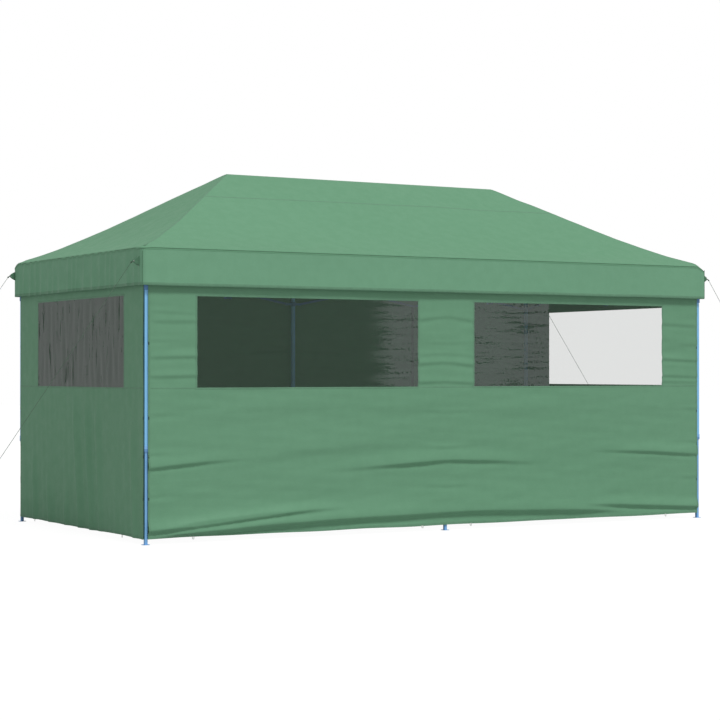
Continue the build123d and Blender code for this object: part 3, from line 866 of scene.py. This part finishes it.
def valanceRipple(side, run, height):
    # gathers that open towards the free bottom edge
    hang = (gazebo["eave"] - height) / (gazebo["eave"] - gazebo["valanceBottom"])
    seed = valance["seed"][side]
    phase = waves(run, height * 0, seed, valance["phase"]) + 0.1 * hang * np.sin(run * 9)
    gather = 1 - 2 * np.abs(np.sin(np.pi * (run / valance["wave"][side] + phase))) ** 0.8
    envelope = 1 - valance["lull"] + waves(run, height * 0, seed, valance["swell"])
    out = valance["ripple"][side] * gather * envelope * (valance["topShare"]
                                                         + (1 - valance["topShare"]) * hang)
    if side == "left":
        out = out + fold(-height, run, *valance["fold"])
    return out + hang * waves(run, height, seed, valance["sway"])


def valanceGrid(heights, outwards):
    # the band between two heights, with a small step outwards for tapes
    around = ringColumns(valance["step"], valance["cornerSteps"])
    outs = {"back": (0, 1), "right": (1, 0), "front": (0, -1), "left": (-1, 0)}
    inset = valance["inset"]
    base = np.array([ringSpot(c, gazebo["roofHalfX"] - inset, gazebo["roofHalfY"] - inset,
                              valance["corner"]) for c in around])
    grid, flat = [], []
    for height, outward in zip(heights, outwards):
        row = np.zeros((len(around), 3))
        for side, normal in outs.items():
            pick = np.array([c[0] == side and c[2] is None for c in around])
            run = base[pick][:, 0] if side in ("front", "back") else base[pick][:, 1]
            half = gazebo["roofHalfX"] if side in ("front", "back") else gazebo["roofHalfY"]
            calm = 1 - ease(np.abs(run), half - valance["calm"][0], half - valance["calm"][1])
            push = valanceRipple(side, run, np.full(len(run), height)) * calm + outward
            row[pick, :2] = base[pick] + push[:, None] * normal
        arcs = np.array([c[2] is not None for c in around])
        row[arcs, :2] = base[arcs] + outward * 0.7 * np.sign(base[arcs])
        edge = np.cumsum(np.concatenate([[0], np.linalg.norm(np.diff(base, axis=0), axis=1)]))
        wave = waves(edge, edge * 0, 0, valance["bottomWave"]) * (1 - ease(height, 2.16, 2.3))
        high = ease(height, 2.3, gazebo["eave"] - 0.01)
        row[:, 2] = height + wave - cornerDrop(row[:, 0], row[:, 1]) * high
        grid.append(row)
        flat.append(np.column_stack([edge, np.full(len(edge), height)]))
    return {"points": np.array(grid), "flat": np.array(flat), "flip": True}


eave, hemBottom, hemTop = gazebo["eave"], gazebo["valanceBottom"], gazebo["valanceBottom"] + valance["hem"]
heights = np.linspace(hemBottom, eave - valance["topEdge"], valance["rows"])
valanceBand = sheetMesh("valance_band", [valanceGrid(heights, np.zeros(len(heights)))], [valanceLitCloth])
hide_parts("valance")
hem = valanceGrid([hemBottom - 0.0008, hemBottom, hemTop, hemTop + 0.0015], [0, 0.0006, 0.0006, 0])
hem["flat"][:, :, 1] -= hemBottom
piping = valanceGrid([eave + lift for lift, _ in valance["piping"]], [out for _, out in valance["piping"]])
piping["flat"][:, :, 1] -= eave + valance["piping"][0][0]
piping["slot"] = 1
valanceTrim = sheetMesh("valance_trim", [hem, piping], [greenTape, seamTape])
# a corded seam runs down each corner
corners = []
for xSign in (-1, 1):
    for ySign in (-1, 1):
        inset = valance["inset"] + valance["corner"] * (1 - math.sqrt(0.5)) - 0.0008
        x, y = xSign * (gazebo["roofHalfX"] - inset), ySign * (gazebo["roofHalfY"] - inset)
        line = [(x, y, height) for height in np.linspace(hemBottom + 0.001, eave - 0.036, 12)]
        corners.append(tubePatch(line, valance["cord"], 8))
cornerSeams = sheetMesh("valance_corner_seams", corners, [seamTape])
for piece in (cornerSeams, valanceBand, valanceTrim):
    packAway(piece, edge="front")

# corner tabs with eyelets
tab = {"reach": 0.060, "half": 0.042, "height": 2.350, "thick": 0.0011, "eyelet": 0.0045, "rim": 0.0012,
       "eyeletIn": 0.016, "rootIn": 0.003, "tipRound": 0.0035}
for corner, xSign, ySign in roofCorners:
    patches = []
    for face in (-1, 1):
        grid, flat = [], []
        for share in np.linspace(0, 1, 15):
            half = tab[
                "half"] * (1 - share) ** 0.92 + tab["tipRound"] * math.sin(math.pi * min(1, share * 1.02))
            heights = np.linspace(-half, half, 9)
            x = xSign * (gazebo["roofHalfX"] - tab["rootIn"] + (tab["reach"] + tab["rootIn"]) * share)
            edge = tab["thick"] * np.sqrt(np.clip(1 - (heights / max(half, 1e-5)) ** 4, 0,
                                                  1)) * (1 - 0.5 * share ** 4)
            curl = 0.002 * math.sin(share * 3)
            y = ySign * rope["inset"] + face * edge + curl
            grid.append(np.column_stack([np.full(9, x), y, tab["height"] + heights]))
            flat.append(np.column_stack([np.full(9, share * tab["reach"]), heights * 0.26 + 0.009]))
        patches.append({"points": np.array(grid), "flat": np.array(flat), "flip": (face * xSign) > 0})
    tabPiece = sheetMesh(corner + "_tab", patches, [seamTape])
    turns = np.linspace(0, 2 * math.pi, 25)[:-1]
    eye = Vector((xSign * (gazebo["roofHalfX"] + tab["reach"] - tab["eyeletIn"]), ySign * rope["inset"],
                  tab["height"]))
    rings = []
    for face in (-1, 1):
        ring = [eye + Vector((math.cos(t) * tab["eyelet"], face * tab["rim"], math.sin(t) * tab["eyelet"]))
                for t in turns]
        rings.append(tubePatch(ring, tab["rim"], 8, closed=True))
    eyelet = sheetMesh(corner + "_tab_eyelet", rings, [eyeletMetal])
    for piece, slot in ((tabPiece, "canopy_fabric"), (eyelet, "peg_steel")):
        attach(piece, corner + "_upper_leg")
print("valance made")

# walls
wallFront = {"windows": [(-2.492, -0.302), (0.302, 2.492)], "top": 2.07, "folds": [
    # line (along, height), rise, upper width, lower width, fade in, fade out
    ([(-2.96, 0.632), (-2.69, 0.658), (-2.36, 0.682), (-1.9, 0.705)], 0.012, 0.075, 0.014, 0.02, 0.8),
    ([(-2.1, 0.72), (-1.68, 0.764), (-1.15, 0.784), (-0.1, 0.81)], 0.006, 0.14, 0.05, 0.7, 0.5),
    ([(-1.2, 0.581), (-0.28, 0.625), (0.0, 0.640), (0.52, 0.622), (1.1, 0.590)],
     0.013, 0.08, 0.017, 0.8, 0.8),
    ([(1.5, 0.70), (2.36, 0.668), (2.96, 0.626)], 0.011, 0.08, 0.014, 0.8, 0.02),
    ([(-2.96, 0.108), (-2.52, 0.145), (-2.02, 0.193), (-1.5, 0.235), (-0.9, 0.262)],
     0.017, 0.06, 0.016, 0.02, 0.9),
    ([(-2.96, 0.062), (-2.52, 0.085), (-1.85, 0.120), (-1.32, 0.143), (-0.28, 0.160), (0.32, 0.169),
      (1.36, 0.140), (2.1, 0.105)], 0.024, 0.11, 0.022, 0.5, 0.7),
    ([(1.4, 0.20), (2.24, 0.152), (2.96, 0.108)], 0.016, 0.06, 0.015, 0.8, 0.02),
    ([(-0.6, 0.30), (0.6, 0.32), (2.2, 0.29)], 0.008, 0.12, 0.08, 0.6, 0.8),
    ([(-2.96, 1.86), (-2.43, 1.868)], 0.006, 0.045, 0.016, 0.12, 0.12),
    ([(-2.96, 1.557), (-2.43, 1.572)], 0.008, 0.04, 0.014, 0.05, 0.08),
    ([(-2.96, 1.397), (-2.43, 1.408)], 0.007, 0.035, 0.013, 0.05, 0.08),
    ([(-2.96, 1.95), (-2.43, 1.925)], 0.004, 0.03, 0.014, 0.1, 0.1),
    ([(-0.36, 1.897), (0.0, 1.945), (0.36, 1.897)], 0.007, 0.05, 0.016, 0.12, 0.12),
    ([(-0.36, 1.506), (0.0, 1.530), (0.36, 1.49)], 0.009, 0.045, 0.016, 0.1, 0.1),
    ([(-0.36, 1.586), (0.0, 1.610), (0.36, 1.578)], 0.004, 0.03, 0.016, 0.1, 0.1),
    ([(-0.36, 1.339), (0.0, 1.352), (0.36, 1.333)], 0.008, 0.04, 0.014, 0.1, 0.1),
    ([(2.43, 1.905), (2.96, 1.888)], 0.006, 0.04, 0.015, 0.1, 0.1),
    ([(2.43, 1.567), (2.96, 1.545)], 0.009, 0.04, 0.014, 0.08, 0.05),
    ([(2.43, 1.404), (2.96, 1.388)], 0.007, 0.035, 0.013, 0.08, 0.05),
    ([(2.43, 1.346), (2.96, 1.34)], 0.005, 0.03, 0.012, 0.08, 0.05),
    ([(-2.3, 1.17), (-1.2, 1.14), (0.2, 1.16)], 0.0035, 0.09, 0.06, 0.7, 0.7),
    ([(0.2, 1.12), (1.6, 1.10), (2.7, 1.14)], 0.003, 0.09, 0.06, 0.7, 0.7),
]}
wallBack = {"windows": [], "top": 2.07, "folds": [
    ([(-2.96, 0.62), (-2.4, 0.66), (-1.5, 0.72)], 0.012, 0.08, 0.015, 0.02, 0.8),
    ([(-1.3, 0.60), (0.0, 0.65), (1.1, 0.60)], 0.012, 0.08, 0.017, 0.8, 0.8),
    ([(1.7, 0.69), (2.96, 0.62)], 0.011, 0.08, 0.014, 0.8, 0.02),
    ([(-2.96, 0.10), (-1.8, 0.15), (0.2, 0.17), (1.9, 0.13), (2.96, 0.08)], 0.022, 0.10, 0.022, 0.3, 0.3),
    ([(-2.96, 1.67), (-2.2, 1.60), (-1.2, 1.58)], 0.009, 0.06, 0.02, 0.02, 0.7),
    ([(-1.0, 1.60), (0.0, 1.67), (1.0, 1.60)], 0.009, 0.06, 0.02, 0.6, 0.6),
    ([(1.3, 1.57), (2.2, 1.60), (2.96, 1.67)], 0.009, 0.06, 0.02, 0.6, 0.02),
    ([(-2.96, 1.06), (-1.6, 1.0)], 0.007, 0.07, 0.03, 0.02, 0.8),
    ([(1.6, 0.98), (2.96, 1.06)], 0.007, 0.07, 0.03, 0.8, 0.02),
    ([(-0.9, 1.0), (0.0, 1.05), (0.9, 0.99)], 0.007, 0.07, 0.03, 0.5, 0.5),
]}
# on the ends the folds hang from top to bottom: line (minus height, along)
wallLeft = {"windows": [(-1.045, 0.965)], "top": 2.08, "falls": [
    ([(-1.27, 0.075), (-0.6, -0.005), (-0.04, -0.075)], 0.010, 0.035, 0.065, 0.35, 0.01),
    ([(-1.27, -0.185), (-0.6, -0.27), (-0.04, -0.35)], 0.012, 0.04, 0.060, 0.35, 0.01),
    ([(-1.25, -0.43), (-0.5, -0.48), (-0.04, -0.52)], 0.007, 0.03, 0.060, 0.35, 0.01),
    ([(-1.1, -1.21), (-0.37, -1.25), (-0.04, -1.28)], 0.009, 0.03, 0.055, 0.35, 0.01),
    ([(-0.75, 1.09), (-0.04, 1.06)], 0.009, 0.03, 0.06, 0.4, 0.01),
    ([(-0.55, 0.73), (-0.04, 0.65)], 0.009, 0.035, 0.08, 0.3, 0.01),
    ([(-0.45, 0.30), (-0.04, 0.27)], 0.007, 0.04, 0.08, 0.3, 0.01),
]}
wallRight = {"windows": [(-0.965, 1.045)], "top": 2.08, "falls": [
    ([(-1.2, 0.35), (-0.04, 0.46)], 0.010, 0.04, 0.07, 0.35, 0.01),
    ([(-1.25, -0.1), (-0.04, -0.02)], 0.009, 0.035, 0.06, 0.35, 0.01),
    ([(-1.2, -0.62), (-0.04, -0.75)], 0.009, 0.04, 0.06, 0.35, 0.01),
    ([(-1.0, 1.1), (-0.04, 1.2)], 0.009, 0.03, 0.06, 0.35, 0.01),
    ([(-0.8, -1.12), (-0.04, -1.08)], 0.008, 0.03, 0.06, 0.35, 0.01),
    ([(-0.6, 0.8), (-0.04, 0.84)], 0.008, 0.03, 0.06, 0.3, 0.01),
]}
walls = {"front": wallFront, "back": wallBack, "left": wallLeft, "right": wallRight}
wallTies = [1.67, 1.05, 0.73, 0.38]     # heights of the straps that hold a wall to its legs
windowSill = 1.30
foldGain = {"low": 1.4, "high": 0.9, "from": 1.2, "falls": 2.1}
wallSeeds = {"front": 41, "back": 51, "left": 61, "right": 71}
hemSeeds = {"front": 81, "back": 82, "left": 83, "right": 84}
# unevenness of the long walls (True) and the end walls (False): rise, seed, sizes along and up
wallWaves = {True: ((0.0022, 0, 2.2, 0.34), (0.0011, 1, 0.8, 0.13)),
             False: ((0.0025, 0, 0.42, 2.6), (0.0013, 1, 0.16, 1.4))}
filmWaves = {True: ((0.0028, 91, 1.2, 0.16), (0.0012, 96, 0.6, 0.064)),
             False: ((0.0028, 91, 0.16, 1.4), (0.0012, 96, 0.08, 0.56))}
strapPull = {"reach": 0.3, "in": 0.003, "out": 0.0022, "fan": 0.05, "thin": 0.012, "spread": 0.08,
             "bulge": (0.035, 0.02)}
wallHold = {"top": 0.85, "topFrom": (1.95, 2.2), "legReach": 0.07, "middleLeg": 0.6, "range": (-0.006, 0.035)}


def wallPush(side, run, height):
    # how far the cloth stands out from its plane at a point of the wall
    spec = walls[side]
    isLong = side in ("front", "back")
    half = gazebo["halfLength"] if isLong else gazebo["halfWidth"]
    seed = wallSeeds[side]
    push = np.zeros(np.broadcast(run, height).shape)
    for line, rise, upper, lower, starts, ends in spec.get("folds", []):
        gain = foldGain["low"] if line[0][1] < foldGain["from"] else foldGain["high"]
        push = push + fold(run, height, line, gain * rise, upper, lower, starts, ends)
    for line, rise, upper, lower, starts, ends in spec.get("falls", []):
        push = push + fold(-height, run, line, foldGain["falls"] * rise, upper, lower, starts, ends)
    push = push + waves(run, height, seed, wallWaves[isLong])
    stations = (-half, 0, half) if isLong else (-half, half)
    for station in stations:
        for tie in wallTies:
            # each strap draws the cloth in, in a fan, and leaves a small bulge over itself
            away = np.abs(run - station)
            near = np.exp(-(away / strapPull["reach"]) ** 2)
            fan = (height - tie - strapPull["fan"] * away) / (strapPull["thin"] + strapPull["spread"] * away)
            bulge = np.exp(-((height - tie - strapPull["bulge"][0]) / strapPull["bulge"][1]) ** 2)
            push = push - strapPull["in"] * near * np.exp(-fan ** 2) + strapPull["out"] * near * bulge
    # held flat along the top, where it is fixed under the valance, and out of the way of the legs
    push = push * (1 - wallHold["top"] * ease(height, *wallHold["topFrom"]))
    for station in stations:
        close = np.exp(-((run - station) / wallHold["legReach"]) ** 2) * (1 if station
                                                                          else wallHold["middleLeg"])
        push = np.where(push < 0, push * (1 - close), push)
    return np.clip(push, *wallHold["range"])


def wallSpot(side, run, height, out):
    # the point of a wall at a place along it, a height, and a distance out from its plane
    run, height, out = np.broadcast_arrays(run, height, out)
    sign = 1 if side in ("back", "right") else -1
    if side in ("front", "back"):
        return np.stack([run, sign * (gazebo["halfWidth"] + (gazebo["wallOut"] + out)), height], axis=-1)
    return np.stack([sign * (gazebo["halfLength"] + (gazebo["wallOut"] + out)), run, height], axis=-1)


def wallOutward(side):
    return wallSpot(side, 0.0, 0.0, 1.0) - wallSpot(side, 0.0, 0.0, 0.0)


def wallHem(side, run):
    # the free bottom edge is not quite straight
    return 0.004 + 0.004 * drift(run, run * 0, hemSeeds[side], 1.3, 1.0)


def wallPatch(side, low, high, bottom, top, stepAlong, stepUp, lift=0.0, holes=()):
    # a piece of the wall between two places along it and two heights, with openings
    marksAlong = sorted({low, high, *[e for hole in holes for e in hole[:2] if low < e < high]})
    marksUp = sorted({bottom, top, *[e for hole in holes for e in hole[2:] if bottom < e < top]})
    along, up = stops(marksAlong, stepAlong), stops(marksUp, stepUp)
    runs, heights = np.meshgrid(along, up, indexing="ij")
    push = wallPush(side, runs, heights) + lift
    place = wallSpot(side, runs, heights, push)
    place[:, :, 2] += wallHem(side, runs) * (1 - ease(heights, gazebo["wallBottom"], 0.2))
    keep = np.ones((len(along) - 1, len(up) - 1), bool)
    middleAlong, middleUp = (along[:-1] + along[1:]) / 2, (up[:-1] + up[1:]) / 2
    for x0, x1, z0, z1 in holes:
        inRun, inHeight = (middleAlong > x0) & (middleAlong < x1), (middleUp > z0) & (middleUp < z1)
        keep &= ~(inRun[:, None] & inHeight[None, :])
    flat = np.stack([runs, heights], axis=2)
    return {"points": place, "flat": flat, "keep": keep, "flip": side in ("back", "left")}


stitchedWidth = 0.018                   # every tape's stitch rows are laid out on this width


def wallTape(side, low, high, bottom, top, slot=0, lift=0.0012, faceIn=False):
    # a flat tape sewn to the wall, its edges turned down into the cloth
    isTall = (top - bottom) > (high - low)
    width = (high - low) if isTall else (top - bottom)
    if isTall:
        patch = wallPatch(side, low, high, bottom, top, width / 3, 0.02)
        patch["flat"] = np.stack([patch["flat"][:, :, 1], patch["flat"][:, :, 0] - low], axis=2)
    else:
        patch = wallPatch(side, low, high, bottom, top, 0.02, width / 3)
        patch["flat"] = np.stack([patch["flat"][:, :, 0], patch["flat"][:, :, 1] - bottom], axis=2)
    share = patch["flat"][:, :, 1] / width
    patch["flat"][:, :, 1] *= stitchedWidth / width
    raised = np.where((share < 0.02) | (share > 0.98), 0.0, 1.0) * lift * (-1 if faceIn else 1)
    patch["points"] = patch["points"] + raised[:, :, None] * wallOutward(side)
    patch["slot"] = slot
    patch["flip"] = patch["flip"] != faceIn
    return patch


wallTrim = {
    "hem": 0.026, "upright": 0.02, "head": 0.03, "sill": (0.009, 0.004), "binding": 0.016, "overlap": 0.002,
    "zipAt": 1.475, "zipBand": 0.017, "zipTeeth": 0.004, "zipTop": 2.13, "strapEnd": 0.014,
    "strapHalf": 0.012,
    "loopHalf": 0.00405, "loopDrop": 0.0136, "filmSeam": 0.004, "filmFade": (0.12, 0.08),
}
wallFlap = {"place": {"front": 0.010, "left": 0.0295}, "deep": 0.030, "top": 0.62}
# how far the cloths go round the corner legs
wallReach = {"front": 0.007, "left": 0.0265, "far": 0.0225}
loopPlaces = {True: (-2.53, -0.26, 0.26, 2.53), False: (-1.03, 1.03)}
for side, spec in walls.items():
    isLong = side in ("front", "back")
    half = (gazebo["halfLength"] if isLong else gazebo["halfWidth"]) - gazebo["wallEnd"]
    bottom, top = gazebo["wallBottom"], gazebo["wallTop"]
    # the cloths reach round the front left leg and meet behind the back right one
    start = -half - wallReach.get(side, 0)
    stop = half + (gazebo["wallEnd"] + wallReach["far"] if side in ("back", "right") else 0)
    holes = [(low, high, windowSill, spec["top"]) for low, high in spec["windows"]]
    steps = (0.03, 0.011) if isLong else (0.012, 0.03)
    cloth = sheetMesh(side + "_wall_cloth", [wallPatch(side, start, stop, bottom, top, *steps, holes=holes)],
                      [wallCloth if isLong else sideWallCloth])
    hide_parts(side + "_wall")
    # hems, the seam all round at the sill, and a binding round each window
    tapes = [wallTape(side, start, stop, bottom, bottom + wallTrim["hem"]),
             wallTape(side, start, start + wallTrim["upright"], bottom, top),
             wallTape(side, stop - wallTrim["upright"], stop, bottom, top),
             wallTape(side, start, stop, top - wallTrim["head"], top)]
    under, over = wallTrim["sill"]
    for low, high in zip([start] + [w[1] for w in spec["windows"]], [w[0] for w in spec["windows"]] + [stop]):
        tapes.append(wallTape(side, low, high, windowSill - under, windowSill + over, lift=0.0010))
    band, lap, head = wallTrim["binding"], wallTrim["overlap"], spec["top"]
    for low, high in spec["windows"]:
        tapes.append(wallTape(side, low - band, high + band, windowSill - band, windowSill + lap / 2))
        tapes.append(wallTape(side, low - band, high + band, head - lap / 2, head + band))
        tapes.append(wallTape(side, low - band, low + lap, windowSill, head))
        tapes.append(wallTape(side, high - lap, high + band, windowSill, head))
    if side == "back":
        # two zips that open a doorway
        for place in (-wallTrim["zipAt"], wallTrim["zipAt"]):
            for faceIn in (False, True):
                for wide, end, lift in ((wallTrim["zipBand"], 0.0, 0.0012),
                                        (wallTrim["zipTeeth"], 0.01, 0.003)):
                    tapes.append(wallTape(side, place - wide, place + wide, bottom + 0.01,
                                          wallTrim["zipTop"] - end, slot=1, lift=lift, faceIn=faceIn))
    # the straps' ends, folded over the wall's upright edges
    for tie in wallTies:
        for low in (start, stop - wallTrim["strapEnd"]):
            tapes.append(wallTape(side, low, low + wallTrim["strapEnd"], tie - wallTrim["strapHalf"],
                                  tie + wallTrim["strapHalf"], slot=1, lift=0.0022))
    # webbing loops for pegs along the bottom
    for place in loopPlaces[isLong]:
        turns = np.linspace(0.15 * math.pi, 1.85 * math.pi, 17)
        grid, flat = [], []
        for t in turns:
            run = place + 0.007 * math.sin(t) + np.array([-1, 1]) * wallTrim["loopHalf"]
            height = bottom + 0.012 - wallTrim["loopDrop"] * (1 - math.cos(t))
            grid.append(wallSpot(side, run, np.full(2, height), np.full(2, 0.003 + 0.004 * math.sin(t / 2))))
            flat.append([[t * 0.01, 0.0], [t * 0.01, 0.012]])
        tapes.append({"points": np.array(grid), "flat": np.array(flat), "slot": 2})
    trim = sheetMesh(side + "_wall_trim", tapes, [greenTape, darkTape, paleTape], merge=False)
    if start < -half:
        # a flap turned in behind the leg's lower tube, and fixed to it
        rise = np.linspace(bottom, wallFlap["top"], 25)
        depths = (0.0, -wallFlap["deep"])
        grid = [wallSpot(side, start + wallFlap["place"][side], rise, deep) for deep in depths]
        flat = [np.stack([np.full(25, -deep), rise], axis=1) for deep in depths]
        flap = sheetMesh(side + "_wall_flap", [{"points": np.array(grid), "flat": np.array(flat)}],
                         [greenTape])
        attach(flap, "front_left_lower_leg")
    for number, (low, high) in enumerate(spec["windows"], 1):
        # the film, with packing wrinkles that fade out at its seams
        seam = wallTrim["filmSeam"]
        pane = wallPatch(side, low - seam, high + seam, windowSill - seam, head + seam, *steps, lift=-0.0006)
        runs, heights = pane["flat"][:, :, 0], pane["flat"][:, :, 1]
        fadeRun, fadeRise = wallTrim["filmFade"]
        edge = ease(runs, low, low + fadeRun) * (1 - ease(runs, high - fadeRun, high))
        edge = edge * ease(heights, windowSill,
                           windowSill + fadeRise) * (1 - ease(heights, head - fadeRise, head))
        wrinkle = waves(runs, heights, number, filmWaves[isLong]) * edge
        pane["points"] = pane["points"] + wrinkle[:, :, None] * wallOutward(side)
        film = {"front": frontFilm, "left": sideFilm, "right": clearFilm}[side]
        paneObject = sheetMesh(f"{side}_window_{number}", [pane], [film])
        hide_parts("window_films")
        packAway(paneObject, edge=side, lift=True)
    for piece in (cloth, trim):
        packAway(piece, edge=side, lift=True)
    width, height = stop - start, top - bottom
print("walls made")

# floor and light
studio = {"sky": 0.44, "sun": 1.76, "sunTurn": (32, 10), "softness": 12, "floor": 0.6, "glow": 1.1,
          "glowShare": 0.88, "half": 60, "under": -0.0005}
floorMesh = bpy.data.meshes.new("floor")
corners = [(x * studio["half"], y * studio["half"], studio["under"]) for x,
           y in ((-1, -1), (1, -1), (1, 1), (-1, 1))]
floorMesh.from_pydata(corners, [], [(0, 1, 2, 3)])
floor = bpy.data.objects.new("floor", floorMesh)
scene.collection.objects.link(floor)
floorMaterial, tree, shader = newMaterial("paleFloor", Roughness=0.9)
shader.inputs["Base Color"].default_value = (studio["floor"],) * 3 + (1,)
glow = addNode(tree, "Emission", Color=(1, 1, 1, 1), Strength=studio["glow"])
path = addNode(tree, "LightPath")
mixer = addNode(tree, "MixShader")
share = times(tree, path.outputs["Is Camera Ray"], studio["glowShare"])
tree.links.new(share, mixer.inputs[0])
tree.links.new(shader.outputs[0], mixer.inputs[1])
tree.links.new(glow.outputs[0], mixer.inputs[2])
tree.links.new(mixer.outputs[0], tree.nodes["Material Output"].inputs["Surface"])
floor.data.materials.append(floorMaterial)

world = bpy.data.worlds.new("studio")
scene.world = world
world.use_nodes = True
worldTree = world.node_tree
sky = worldTree.nodes["Background"]
sky.inputs["Color"].default_value = (1, 1, 1, 1)
worldPath = addNode(worldTree, "LightPath")
# the background is seen as white, but lights the tent less
level = addNode(worldTree, "MapRange", i0=worldPath.outputs["Is Camera Ray"], i3=studio["sky"], i4=1.0)
worldTree.links.new(level.outputs[0], sky.inputs["Strength"])
lamp = bpy.data.lights.new("sun", "SUN")
lamp.energy = studio["sun"]
lamp.angle = math.radians(studio["softness"])
light = bpy.data.objects.new("sun", lamp)
light.rotation_euler = (math.radians(studio["sunTurn"][0]), 0, math.radians(studio["sunTurn"][1]))
scene.collection.objects.link(light)
scene.view_settings.view_transform = "Standard"
print("stage and light ready")
